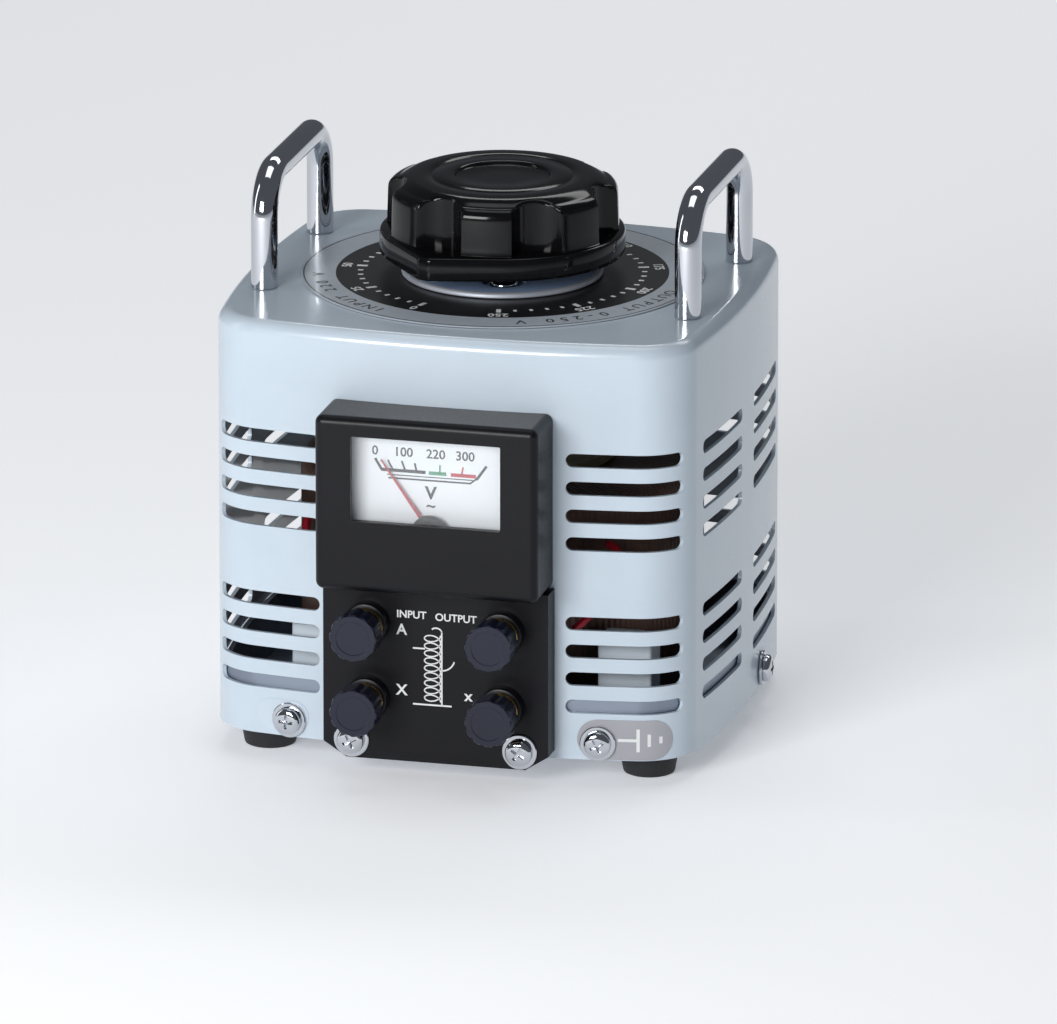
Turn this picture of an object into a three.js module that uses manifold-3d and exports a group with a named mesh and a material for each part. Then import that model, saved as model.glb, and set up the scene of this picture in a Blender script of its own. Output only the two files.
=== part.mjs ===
// Bench variac: a hand-turned autotransformer in a ventilated sheet-steel case, with a volt
// meter, four binding posts, two carrying handles and four rubber feet.
// Millimetres, +Z up, front towards -Y. Heights count from the table, x and y from the shaft,
// and the whole group is moved along Y at the end so that its origin is under its middle.
import * as THREE from "three";
import { mergeVertices } from "three/addons/utils/BufferGeometryUtils.js";
import Module from "manifold-3d";

const wasm = await Module();
wasm.setup();

// ---- driving dimensions ----
const gap = 0.3; // between pieces that are fixed against each other
const running_gap = 0.06; // radial, between a turning piece and its bearing
const hole_gap = 0.35; // radial, round a screw's shank
const hole_margin = 2; // round a piece that passes through the case's front

const case_width = 152;
const case_depth = 139;
const case_height = 126.5;
const case_forward = 3; // the case's middle stands this far in front of the shaft
const case_side_bow = 6.2; // how far the middle of a side stands out past its ends
const case_front_bow = 8;
const case_corner_radius = 18;
const case_top_edge_radius = 4;
const case_wall = 1.2;

const slot_height = 4.2;
const slot_pitch = 8.5;
const slot_rows = 4; // in each of the two blocks
const slot_first_drop = 34.9; // from the case's top to the first row's middle
const slot_block_drop = 49.9; // from one block to the next
const slot_front_start = 37.4; // half width left for the panel
const slot_corner_end = 58; // degrees round from the front or the back
const slot_strip = 7; // half width of the plain strip between two groups
const slot_side_end = 45;
const slot_rear_half = 29;

const base_thickness = 1.5;
const base_flange_height = 18.5; // up to the lowest row of slots' top

const foot_height = 8;
const foot_top_radius = 9;
const foot_bottom_radius = 7.6;
const foot_x = 58;
const foot_y = 48; // from the case's middle
const foot_recess_radius = 3.2;
const foot_recess_depth = 4;

const handle_rod_radius = 4;
const handle_x = 64.6;
const handle_half_span = 31.5;
const handle_rise = 33.5; // to the rod's middle
const handle_bend_radius = 12.5;
const handle_stud_radius = 2.4;
const handle_stud_length = 9;
const nut_flats = 8;
const nut_height = 4;

const dial_radius = 60;
const dial_bore_radius = 22;
const dial_thickness = 0.4;
const hub_radius = 30;
const hub_thickness = 1.7;
const hub_screw_circle = 17;
const hub_screw_count = 2;
const hub_screw_first = -74; // degrees
const hub_recess_radius = 6.6;

const knob_radius = 34.3;
const knob_skirt_radius = 36.5;
const knob_pointer_radius = 42;
const knob_pointer_width = 3.6;
const knob_bottom = 7.6; // above the case's top
const knob_skirt_height = 7;
const knob_height = 30.8; // to its top, above the case's top
const knob_shoulder_radius = 26;
const knob_flutes = 7;
const knob_flute_radius = 8.4;
const knob_flute_circle = 37.2;
const knob_draft = 0.4; // how much wider it is at the skirt
const knob_edge_round = 2.7;
const knob_crown = 2; // the rise from the rounded edge to the shoulder
const knob_recess_radius = 13.7;
const knob_recess_lip = 0.8;
const knob_recess_depth = 1;
const knob_boss_radius = 9;
const knob_boss_drop = 4; // below the skirt
const knob_engagement = 14; // the shaft's length inside the knob
const pointer_angle = -109.5; // degrees, at zero volts
const scale_sweep = 327.5; // degrees of turn, zero to full volts
const grub_radius = 2;
const grub_length = 8;

const shaft_radius = 4;
const shaft_bottom = 13;
const sleeve_radius = 7;

const coil_outer_radius = 60;
const coil_inner_radius = 26;
const coil_bottom = 13;
const coil_height = 67;
const coil_build = 4; // the wire's thickness round the core
const core_clearance = 0.4;
const coil_gap_angle = 26; // degrees with no winding, between its ends
const ring_thickness = 2.4;
const ring_outer_radius = 54;
const clamp_radius = 34;
const clamp_thickness = 3;
const sleeve_flange = 5; // past the sleeve's side
const clamp_nut_wall = 4.5;

const arm_height = 11; // its underside, above the winding
const arm_thickness = 3;
const arm_width = 18;
const arm_tail = 16;
const arm_hub_radius = 10;
const arm_hub_height = 9;
const brush_circle = 47;
const brush_length = 8; // along the arm
const brush_width = 6;
const brush_height = 9;
const holder_wall = 1.2;
const holder_height = 13;
const holder_drop = 4; // below the arm
const arm_margin = 2; // past the holder
const spring_turns = 4;
const spring_wire = 0.35;
const spring_radius = 2;
const stop_inner_radius = 20;
const stop_outer_radius = 26;
const stop_width_angle = 31; // degrees, the post and the finger together
const stop_drop = 5;

const panel_width = 68.5;
const panel_top = 60.2;
const panel_bottom = 6;
const panel_proud = 6; // in front of the case
const panel_wall = 2.2;
const panel_corner_cut = 7;
const panel_corner_rise = 4.5;

const meter_width = 67.5;
const meter_bottom = 60.5;
const meter_top = 113.7;
const meter_proud = 17.8;
const meter_wall = 2.2;
const meter_edge = 2.2;
const shell_depth = 9; // how far the moulded shells reach behind the case's front
const window_width = 45.3;
const window_bottom = 82.2;
const window_top = 108;
const window_margin = 1.6;
const window_thickness = 1.2;
const card_width = 52;
const card_height = 31;
const card_setback = 4.2; // behind the window
const card_thickness = 0.5;
const card_below_pivot = 2.5;
const movement_width = 38;
const movement_height = 34;
const movement_depth = 20;
const movement_frame = 6;
const movement_rise = 8; // its middle, above the needle's axle
const needle_pivot_z = 78.6;
const needle_length = 26;
const needle_zero = 35.5; // degrees left of upright
const needle_thickness = 0.35;
const needle_stand_off = 1.4; // in front of the card
const needle_root_half = 0.7;
const needle_tip_half = 0.2;
const needle_tail = 4;
const needle_hub_radius = 1.8;
const needle_axle_radius = 0.7;
const needle_axle_reach = 2.5; // behind the card

const post_x = 20.5;
const post_upper_z = 48;
const post_lower_z = 25;
const post_margin = 7; // the case's opening, past the posts
const stud_radius = 2.5;
const stud_inside = 6;
const stud_flange = 2; // its shoulder behind the panel
const collar_radius = 6.6;
const collar_thickness = 3.6;
const washer_radius = 5.6;
const washer_thickness = 0.9;
const cap_neck_radius = 5;
const cap_neck_length = 4.4;
const cap_radius = 7.35;
const cap_length = 8;
const cap_flutes = 12;
const cap_cover = 1.6; // over the stud's end

const screw_head_radius = 4.1;
const screw_head_height = 2.4;
const screw_washer_radius = 5.3;
const screw_washer_thickness = 0.8;
const screw_radius = 2;
const screw_length = 8;
const case_screw_x = 47;
const case_screw_rise = 5.2; // above the case's bottom edge
const side_screw_y = 19;
const panel_screw_x = 25.6;
const panel_screw_z = 11.6;

const earth_label_width = 27;
const earth_label_height = 12.5;
const earth_label_thickness = 0.2;
const earth_label_offset = 7.4; // its middle, past the screw

const lead_radius = 1.3;

// ---- values worked out from them ----
const case_bottom = foot_height;
const case_top = foot_height + case_height;
const case_front = -case_forward - case_depth / 2;
const case_rear = -case_forward + case_depth / 2;
const panel_front = case_front - panel_proud;
const meter_front = case_front - meter_proud;
const base_inset = case_wall + gap;
const floor_top = case_bottom + base_thickness;
const coil_top = coil_bottom + coil_height;
const sleeve_bore = shaft_radius + running_gap;
const collar_front = panel_front - gap - collar_thickness;
const washer_front = collar_front - gap - washer_thickness;
const cap_back = washer_front - gap;
const cap_front = cap_back - cap_neck_length - cap_length;
const group_shift = -(cap_front + case_rear) / 2;

const radians = THREE.MathUtils.degToRad;

// ---- solids ----
function solid(source) {
  const plain = source.index ? source.toNonIndexed() : source.clone();
  plain.deleteAttribute("normal");
  plain.deleteAttribute("uv");
  const merged = mergeVertices(plain, 1e-3);
  return new wasm.Manifold(
    new wasm.Mesh({
      numProp: 3,
      vertProperties: merged.attributes.position.array,
      triVerts: new Uint32Array(merged.index.array),
    }),
  );
}

function geometryOf(made) {
  const m = made.getMesh();
  const geometry = new THREE.BufferGeometry();
  geometry.setAttribute("position", new THREE.BufferAttribute(m.vertProperties, 3));
  geometry.setIndex(new THREE.BufferAttribute(m.triVerts, 1));
  geometry.computeVertexNormals();
  return geometry;
}

function box(x0, x1, y0, y1, z0, z1) {
  const geometry = new THREE.BoxGeometry(x1 - x0, y1 - y0, z1 - z0);
  geometry.translate((x0 + x1) / 2, (y0 + y1) / 2, (z0 + z1) / 2);
  return solid(geometry);
}

// A round bar from z0 to z1.
function cylinder(radius, z0, z1, x = 0, y = 0, sides = 24) {
  const geometry = new THREE.CylinderGeometry(radius, radius, z1 - z0, sides);
  geometry.rotateX(Math.PI / 2);
  geometry.translate(x, y, (z0 + z1) / 2);
  return solid(geometry);
}

// A round bar along Y, from y0 to y1.
function barAlongY(radius, y0, y1, x, z, sides = 24) {
  const geometry = new THREE.CylinderGeometry(radius, radius, y1 - y0, sides);
  geometry.translate(x, (y0 + y1) / 2, z);
  return solid(geometry);
}

// Rings of as many points each, joined one to the next and closed at both ends.
function loft(rings) {
  const n = rings[0].length;
  const positions = rings.flat().flatMap((p) => [p.x, p.y, p.z]);
  const faces = [];
  for (let i = 2; i < n; i++) {
    const last = (rings.length - 1) * n;
    faces.push(0, i, i - 1);
    faces.push(last, last + i - 1, last + i);
  }
  for (let k = 0; k < rings.length - 1; k++) {
    for (let i = 0; i < n; i++) {
      const a = k * n + i;
      const b = k * n + ((i + 1) % n);
      faces.push(a, b, b + n);
      faces.push(a, b + n, a + n);
    }
  }
  const geometry = new THREE.BufferGeometry();
  geometry.setAttribute("position", new THREE.Float32BufferAttribute(positions, 3));
  geometry.setIndex(faces);
  return solid(geometry);
}

// A piece of a ring about the shaft, between two angles in degrees.
function ringSector(r0, r1, from, to, z0, z1) {
  const steps = Math.max(2, Math.ceil((to - from) / 10));
  const shape = new THREE.Shape();
  for (let i = 0; i <= steps; i++) {
    const a = radians(from + ((to - from) * i) / steps);
    if (i === 0) shape.moveTo(r1 * Math.cos(a), r1 * Math.sin(a));
    else shape.lineTo(r1 * Math.cos(a), r1 * Math.sin(a));
  }
  for (let i = steps; i >= 0; i--) {
    const a = radians(from + ((to - from) * i) / steps);
    shape.lineTo(r0 * Math.cos(a), r0 * Math.sin(a));
  }
  const geometry = new THREE.ExtrudeGeometry(shape, { depth: z1 - z0, bevelEnabled: false });
  geometry.translate(0, 0, z0);
  return solid(geometry);
}

function prism(points, z0, z1) {
  const shape = new THREE.Shape(points);
  const geometry = new THREE.ExtrudeGeometry(shape, { depth: z1 - z0, bevelEnabled: false });
  geometry.translate(0, 0, z0);
  return solid(geometry);
}

function lathe(profile, sides = 32) {
  const points = profile.map(([r, z]) => new THREE.Vector2(r, z));
  const geometry = new THREE.LatheGeometry(points, sides);
  geometry.rotateX(Math.PI / 2);
  return solid(geometry);
}

// A rod of round section along a curve.
function rod(curve, radius, sides, steps) {
  const section = new THREE.Shape();
  for (let i = 0; i < sides; i++) {
    const a = (2 * Math.PI * i) / sides;
    if (i === 0) section.moveTo(radius * Math.cos(a), radius * Math.sin(a));
    else section.lineTo(radius * Math.cos(a), radius * Math.sin(a));
  }
  return solid(
    new THREE.ExtrudeGeometry(section, { steps, bevelEnabled: false, extrudePath: curve }),
  );
}

function move(made, x, y, z) {
  return made.translate([x, y, z]);
}

// ---- the case's plan: four bowed sides and four round corners ----
const side_radius = ((case_depth / 2) ** 2 + case_side_bow ** 2) / (2 * case_side_bow);
const front_radius = ((case_width / 2) ** 2 + case_front_bow ** 2) / (2 * case_front_bow);
const side_centre = new THREE.Vector2(case_width / 2 - side_radius, 0);
const front_centre = new THREE.Vector2(0, case_depth / 2 - front_radius);
const corner_centre = meetingPoint(
  side_centre,
  side_radius - case_corner_radius,
  front_centre,
  front_radius - case_corner_radius,
);
const side_end_angle = corner_centre.clone().sub(side_centre).angle();
const corner_end_angle = corner_centre.clone().sub(front_centre).angle();

// Where two circles meet, on the left of the line from the first to the second.
function meetingPoint(a, radius_a, b, radius_b) {
  const between = b.clone().sub(a);
  const distance = between.length();
  const along = (radius_a ** 2 - radius_b ** 2 + distance ** 2) / (2 * distance);
  const across = Math.sqrt(radius_a ** 2 - along ** 2);
  between.normalize();
  const foot = a.clone().addScaledVector(between, along);
  return foot.add(new THREE.Vector2(-between.y, between.x).multiplyScalar(across));
}

// The plan's point whose outward normal stands at an angle, in radians from +X.
function planPoint(normal, inset = 0) {
  const sx = Math.cos(normal) < 0 ? -1 : 1;
  const sy = Math.sin(normal) < 0 ? -1 : 1;
  const t = Math.atan2(Math.abs(Math.sin(normal)), Math.abs(Math.cos(normal)));
  let centre = corner_centre;
  let radius = case_corner_radius;
  if (t < side_end_angle) {
    centre = side_centre;
    radius = side_radius;
  } else if (t > corner_end_angle) {
    centre = front_centre;
    radius = front_radius;
  }
  const r = radius - inset;
  const x = sx * (centre.x + r * Math.cos(t));
  const y = sy * (centre.y + r * Math.sin(t));
  return new THREE.Vector2(x, y - case_forward);
}

const plan_angles = [];
for (const quarter of [0, 1, 2, 3]) {
  const first = quarter % 2 ? Math.PI / 2 - corner_end_angle : side_end_angle;
  const last = quarter % 2 ? Math.PI / 2 - side_end_angle : corner_end_angle;
  const turn = (quarter * Math.PI) / 2;
  for (const k of [0, 1]) plan_angles.push(turn + (first * k) / 2);
  for (const k of [0, 1, 2, 3, 4, 5]) plan_angles.push(turn + first + ((last - first) * k) / 6);
  for (const k of [0, 1]) plan_angles.push(turn + last + ((Math.PI / 2 - last) * k) / 2);
}

function planRing(inset, z) {
  return plan_angles.map((a) => {
    const p = planPoint(a, inset);
    return new THREE.Vector3(p.x, p.y, z);
  });
}

// The case's outside, or its inside, shrunk by an inset; negative is a size bigger.
function caseSolid(inset, z0, z1) {
  const edge = case_top_edge_radius - inset;
  const rings = [planRing(inset, z0)];
  const steps = 3;
  for (let k = 0; k <= steps; k++) {
    const a = (Math.PI / 2) * (k / steps);
    rings.push(planRing(inset + edge * (1 - Math.cos(a)), z1 - edge * (1 - Math.sin(a))));
  }
  return loft(rings);
}

// The angle of the plan's normal at a distance from the middle of the front or of a side.
const frontNormal = (x) => Math.asin(x / front_radius);
const sideNormal = (y) => Math.asin(y / side_radius);

// A slot through the wall, from one normal angle to another, with round ends.
const slot_reach = 4; // past both faces of the wall
function slotCutter(from, to, z) {
  const half = slot_height / 2;
  const near = insetAngle(from, to, half);
  const far = insetAngle(to, from, half);
  const steps = Math.max(2, Math.ceil(Math.abs(far - near) / radians(13)));
  const outer = [];
  const inner = [];
  for (let i = 0; i <= steps; i++) {
    const a = near + ((far - near) * i) / steps;
    outer.push(planPoint(a, -slot_reach));
    inner.unshift(planPoint(a, case_wall + slot_reach));
  }
  let cutter = prism([...outer, ...inner], z - half, z + half);
  for (const a of [near, far]) {
    const middle = planPoint(a, case_wall / 2);
    const end = new THREE.CylinderGeometry(half, half, case_wall + 2 * slot_reach, 8);
    end.rotateZ(-Math.PI / 2);
    end.rotateZ(a);
    end.translate(middle.x, middle.y, z);
    cutter = cutter.add(solid(end));
  }
  return cutter;
}

// The normal angle that lies a length along the plan from one angle towards another.
function insetAngle(from, to, length) {
  const step = (to - from) / 400;
  let walked = 0;
  let a = from;
  while (walked < length) {
    walked += planPoint(a).distanceTo(planPoint(a + step));
    a += step;
  }
  return a;
}

function slotGroups() {
  const right = Math.PI * 2;
  const corner = radians(90 - slot_corner_end);
  const strip = sideNormal(slot_strip);
  const side_end = sideNormal(slot_side_end);
  const front_start = frontNormal(slot_front_start);
  const rear_half = frontNormal(slot_rear_half);
  const groups = [[Math.PI / 2 - rear_half, Math.PI / 2 + rear_half]];
  for (const middle of [0, Math.PI]) {
    groups.push([middle + strip, middle + side_end]);
    groups.push([middle - side_end, middle - strip]);
  }
  for (const middle of [Math.PI / 2, (3 * Math.PI) / 2]) {
    groups.push([middle + front_start, middle + Math.PI / 2 - corner]);
    groups.push([middle - Math.PI / 2 + corner, middle - front_start]);
  }
  return groups.map(([a, b]) => [a + right, b + right]);
}

// ---- pieces fixed to the case by their normals ----
// Turns a piece modelled with its outward axis along +Z so that it stands on the case's wall.
function onWall(made, normal, z, proud) {
  const p = planPoint(normal, -proud);
  const turned = made.rotate([0, 90, 0]).rotate([0, 0, THREE.MathUtils.radToDeg(normal)]);
  return move(turned, p.x, p.y, z);
}

function screw(head_gap = gap) {
  const head = screw_washer_thickness + screw_head_height;
  return move(
    lathe(
      [
        [0, -screw_length],
        [screw_radius, -screw_length],
        [screw_radius, 0],
        [screw_washer_radius, 0],
        [screw_washer_radius, screw_washer_thickness],
        [screw_head_radius, screw_washer_thickness],
        [screw_head_radius * 0.8, head],
        [0, head],
      ],
      12,
    ),
    0,
    0,
    head_gap,
  );
}

function screwHole() {
  return cylinder(screw_radius + hole_gap, -screw_length - 1, 3, 0, 0, 12);
}

const case_screw_z = case_bottom + case_screw_rise;
const front_screw_normals = {
  case_screw_left: (3 * Math.PI) / 2 - frontNormal(case_screw_x),
  earth_screw: (3 * Math.PI) / 2 + frontNormal(case_screw_x),
};
const side_screw_normals = {
  case_screw_side_left: Math.PI - sideNormal(side_screw_y),
  case_screw_side_right: sideNormal(side_screw_y),
};
const case_screw_normals = { ...front_screw_normals, ...side_screw_normals };

const handle_sides = { left: -handle_x, right: handle_x };
const handle_legs = { front: -handle_half_span, rear: handle_half_span };

function postOpening() {
  const half = post_x + collar_radius;
  const low = post_lower_z - post_margin;
  return box(-half, half, case_front - 3, case_front + 8, low, post_upper_z + post_margin);
}

function caseCover() {
  let cover = caseSolid(0, case_bottom, case_top);
  cover = cover.subtract(caseSolid(case_wall, case_bottom - 5, case_top - case_wall));
  const cutters = [];
  for (const [from, to] of slotGroups()) {
    for (const block of [0, 1]) {
      for (let row = 0; row < slot_rows; row++) {
        const drop = slot_first_drop + block * slot_block_drop + row * slot_pitch;
        cutters.push(slotCutter(from, to, case_top - drop));
      }
    }
  }
  for (const normal of Object.values(case_screw_normals)) {
    cutters.push(onWall(screwHole(), normal, case_screw_z, 0));
  }
  for (const x of Object.values(handle_sides)) {
    for (const y of Object.values(handle_legs)) {
      cutters.push(cylinder(handle_stud_radius + hole_gap, case_top - 9, case_top + 9, x, y, 12));
    }
  }
  for (const [x, y] of hubScrewPlaces()) {
    cutters.push(cylinder(screw_radius + hole_gap, case_top - 9, case_top + 9, x, y, 12));
  }
  cutters.push(cylinder(knob_boss_radius + 2, case_top - 9, case_top + 9));
  // openings behind the meter and behind the terminal panel
  const y0 = case_front - 3;
  const y1 = case_front + 8;
  const half = movement_width / 2 + hole_margin;
  const meter_low = needle_pivot_z - movement_height / 2 + movement_rise - hole_margin;
  cutters.push(box(-half, half, y0, y1, meter_low, meter_low + movement_height + 2 * hole_margin));
  cutters.push(postOpening());
  for (const x of [-panel_screw_x, panel_screw_x]) {
    cutters.push(barAlongY(screw_radius + hole_gap, y0, y1, x, panel_screw_z, 12));
  }
  return cutters.reduce((made, cutter) => made.subtract(cutter), cover);
}

function basePlate() {
  const top = case_bottom + base_flange_height;
  let plate = loft([planRing(base_inset, case_bottom), planRing(base_inset, top)]);
  const inside = base_inset + base_thickness;
  plate = plate.subtract(loft([planRing(inside, floor_top), planRing(inside, top + 3)]));
  for (const normal of Object.values(case_screw_normals)) {
    plate = plate.subtract(onWall(screwHole(), normal, case_screw_z, 0));
  }
  for (const x of [-panel_screw_x, panel_screw_x]) {
    const hole = barAlongY(
      screw_radius + hole_gap, case_front - 3, case_front + 9, x, panel_screw_z, 12,
    );
    plate = plate.subtract(hole);
  }
  plate = plate.subtract(postOpening());
  return plate.subtract(cylinder(sleeve_radius + gap, case_bottom - 3, floor_top + 3));
}

function foot() {
  return lathe([
    [0, foot_recess_depth],
    [foot_recess_radius, foot_recess_depth],
    [foot_recess_radius, 0],
    [foot_bottom_radius, 0],
    [foot_top_radius, foot_height - gap],
    [0, foot_height - gap],
  ], 16);
}

function handle(x) {
  const r = handle_bend_radius;
  const low = new THREE.Vector3(x, -handle_half_span, case_top + gap);
  const top = case_top + handle_rise;
  const at = (y, z) => new THREE.Vector3(x, y, z);
  const soft = r * (1 - 0.5523); // a quarter circle as a Bezier curve
  const s = handle_half_span;
  const path = new THREE.CurvePath();
  path.add(new THREE.LineCurve3(low, at(-s, top - r)));
  path.add(new THREE.CubicBezierCurve3(
    at(-s, top - r), at(-s, top - soft), at(-s + soft, top), at(-s + r, top),
  ));
  path.add(new THREE.LineCurve3(at(-s + r, top), at(s - r, top)));
  path.add(new THREE.CubicBezierCurve3(
    at(s - r, top), at(s - soft, top), at(s, top - soft), at(s, top - r),
  ));
  path.add(new THREE.LineCurve3(at(s, top - r), at(s, case_top + gap)));
  let made = rod(path, handle_rod_radius, 10, 24);
  for (const y of Object.values(handle_legs)) {
    const bottom = case_top - handle_stud_length;
    made = made.add(cylinder(handle_stud_radius, bottom, case_top + 1, x, y, 12));
  }
  return made;
}

function nut(bore) {
  const across = nut_flats / 2 / Math.cos(Math.PI / 6);
  return cylinder(across, 0, nut_height, 0, 0, 6).subtract(
    cylinder(bore + gap, -1, nut_height + 1, 0, 0, 12),
  );
}

// ---- dial, hub and knob ----
const dial_bottom = case_top + gap / 2;
const dial_top = dial_bottom + dial_thickness;
const hub_bottom = dial_top + gap / 2;
const hub_top = hub_bottom + hub_thickness;

function hubScrewPlaces() {
  const places = [];
  for (let i = 0; i < hub_screw_count; i++) {
    const a = radians(hub_screw_first + (360 * i) / hub_screw_count);
    places.push([hub_screw_circle * Math.cos(a), hub_screw_circle * Math.sin(a)]);
  }
  return places;
}

function dialPlate() {
  const bore = cylinder(dial_bore_radius + hub_recess_radius, case_top - 1, case_top + 3, 0, 0, 32);
  return cylinder(dial_radius, dial_bottom, dial_top, 0, 0, 48).subtract(bore);
}

function hubPlate() {
  let plate = cylinder(hub_radius, hub_bottom, hub_top, 0, 0, 40);
  plate = plate.subtract(cylinder(knob_boss_radius + 0.8, hub_bottom - 1, hub_top + 1, 0, 0, 32));
  for (const [x, y] of hubScrewPlaces()) {
    plate = plate.subtract(cylinder(hub_recess_radius, hub_bottom - 1, hub_top + 1, x, y, 16));
  }
  return plate;
}

const knob_low = case_top + knob_bottom;
const knob_top = case_top + knob_height;
const shaft_top = knob_low - knob_boss_drop + knob_engagement;
const grub_z = knob_low + knob_skirt_height / 2;

function knob() {
  const skirt_top = knob_low + knob_skirt_height;
  const edge_top = knob_top - knob_crown;
  const round_middle = knob_edge_round * (1 - Math.SQRT1_2);
  let body = lathe([
    [0, knob_low],
    [knob_radius + knob_draft, knob_low],
    [knob_radius, edge_top - knob_edge_round],
    [knob_radius - round_middle, edge_top - round_middle],
    [knob_radius - knob_edge_round, edge_top],
    [knob_shoulder_radius, knob_top],
    [knob_recess_radius + knob_recess_lip, knob_top],
    [knob_recess_radius, knob_top - knob_recess_depth],
    [0, knob_top - knob_recess_depth],
  ], 32);
  for (let i = 0; i < knob_flutes; i++) {
    const a = radians(pointer_angle + (360 * i) / knob_flutes);
    const x = knob_flute_circle * Math.cos(a);
    const y = knob_flute_circle * Math.sin(a);
    body = body.subtract(cylinder(knob_flute_radius, knob_low - 1, knob_top + 1, x, y, 12));
  }
  const skirt = cylinder(knob_skirt_radius, knob_low, skirt_top, 0, 0, 32);
  const tangent = Math.acos(knob_skirt_radius / knob_pointer_radius);
  const half = knob_pointer_width / 2;
  const lean = new THREE.Vector2(Math.cos(tangent), Math.sin(tangent));
  lean.multiplyScalar(knob_skirt_radius - 0.1);
  const pointer = prism(
    [
      new THREE.Vector2(lean.x, -lean.y),
      new THREE.Vector2(knob_pointer_radius, -half),
      new THREE.Vector2(knob_pointer_radius, half),
      new THREE.Vector2(lean.x, lean.y),
    ],
    knob_low,
    skirt_top,
  ).rotate([0, 0, pointer_angle]);
  let made = body.add(skirt).add(pointer);
  made = made.add(cylinder(knob_boss_radius, knob_low - knob_boss_drop, knob_low + 1, 0, 0, 32));
  made = made.subtract(
    cylinder(shaft_radius + running_gap, knob_low - knob_boss_drop - 1, shaft_top + gap, 0, 0, 32),
  );
  return made.subtract(grubBar(grub_radius + 0.1, shaft_radius - 1, knob_pointer_radius + 1));
}

// A bar along the grub screw's line, which leaves the knob behind its pointer.
function grubBar(radius, from, to) {
  const bar = new THREE.CylinderGeometry(radius, radius, to - from, 12);
  bar.rotateZ(-Math.PI / 2);
  bar.translate((from + to) / 2, 0, grub_z);
  return solid(bar).rotate([0, 0, pointer_angle + 180]);
}

// ---- coil ----
function winding() {
  const wound = ringSolid(coil_inner_radius, coil_outer_radius, coil_bottom, coil_top, 40);
  const room = ringSolid(
    coil_inner_radius + coil_build,
    coil_outer_radius - coil_build,
    coil_bottom + coil_build,
    coil_top - coil_build,
    40,
  );
  const half = coil_gap_angle / 2;
  const opening = ringSector(
    coil_inner_radius - 2, coil_outer_radius + 2, coil_gap_middle - half,
    coil_gap_middle + half, coil_bottom - 1, coil_top + 1,
  );
  return wound.subtract(room).subtract(opening);
}

function ringSolid(r0, r1, z0, z1, sides) {
  return cylinder(r1, z0, z1, 0, 0, sides).subtract(cylinder(r0, z0 - 1, z1 + 1, 0, 0, sides));
}

function core() {
  const in_from_wire = coil_build + core_clearance;
  return ringSolid(
    coil_inner_radius + in_from_wire + 0.2,
    coil_outer_radius - in_from_wire - 0.2,
    coil_bottom + in_from_wire,
    coil_top - in_from_wire,
    40,
  );
}

const lower_ring_bottom = coil_bottom - gap - ring_thickness;
const clamp_bottom = coil_top + gap;
const clamp_top = clamp_bottom + clamp_thickness;
const sleeve_top = clamp_top + nut_height + 1;
const arm_bottom = coil_top + arm_height;
const arm_top = arm_bottom + arm_thickness;

// The stop post stands on the clamp plate and the finger hangs from the arm, so that the two
// meet at both ends of the scale. The arm lies under the pointer.
const finger_share = 0.5;
const stop_slack = (360 - scale_sweep - stop_width_angle) / 2;
const stop_post_middle = pointer_angle + stop_width_angle / 2 + stop_slack;
const coil_gap_middle = stop_post_middle;

function clampPlate() {
  const bore = sleeve_radius + gap;
  const plate = ringSolid(bore, clamp_radius, clamp_bottom, clamp_top, 32);
  const half = (stop_width_angle * (1 - finger_share)) / 2;
  const post = ringSector(
    stop_inner_radius, stop_outer_radius, stop_post_middle - half, stop_post_middle + half,
    clamp_top - 0.5, arm_bottom - 1,
  );
  return plate.add(post);
}

function sleeve() {
  const bottom = floor_top + gap;
  const flange_top = lower_ring_bottom + ring_thickness;
  const flange = cylinder(sleeve_radius + sleeve_flange, bottom, flange_top, 0, 0, 32);
  const tube = cylinder(sleeve_radius, bottom, sleeve_top, 0, 0, 32);
  return tube.add(flange).subtract(cylinder(sleeve_bore, bottom - 1, sleeve_top + 1, 0, 0, 32));
}

function lowerRing() {
  const inner = sleeve_radius + sleeve_flange + gap;
  return ringSolid(inner, ring_outer_radius, lower_ring_bottom, coil_bottom - gap, 32);
}

function clampNut() {
  const bore = sleeve_radius + gap;
  const across = sleeve_radius + clamp_nut_wall;
  return cylinder(across, clamp_top + gap, clamp_top + gap + nut_height, 0, 0, 6).subtract(
    cylinder(bore, clamp_top - 1, clamp_top + nut_height + 2, 0, 0, 32),
  );
}

// ---- rotor under the case's top, modelled with the arm along +X ----
function brushArm() {
  const end = brush_circle + brush_length / 2 + holder_wall + arm_margin;
  let arm = box(-arm_tail, end, -arm_width / 2, arm_width / 2, arm_bottom, arm_top);
  arm = arm.add(cylinder(arm_hub_radius, arm_bottom, arm_bottom + arm_hub_height, 0, 0, 32));
  arm = arm.subtract(
    cylinder(shaft_radius + running_gap, arm_bottom - 1, arm_bottom + arm_hub_height + 1, 0, 0, 32),
  );
  const x0 = brush_circle - brush_length / 2 - holder_wall - gap - running_gap;
  const x1 = brush_circle + brush_length / 2 + holder_wall + gap + running_gap;
  const y = brush_width / 2 + holder_wall + gap + running_gap;
  arm = arm.subtract(box(x0, x1, -y, y, arm_bottom - 1, arm_top + 1));
  const half = (stop_width_angle * finger_share) / 2;
  const finger = ringSector(
    stop_inner_radius + 0.5, stop_outer_radius - 0.5, -half, half,
    arm_bottom - stop_drop, arm_bottom + 1,
  );
  return arm.add(finger);
}

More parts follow.
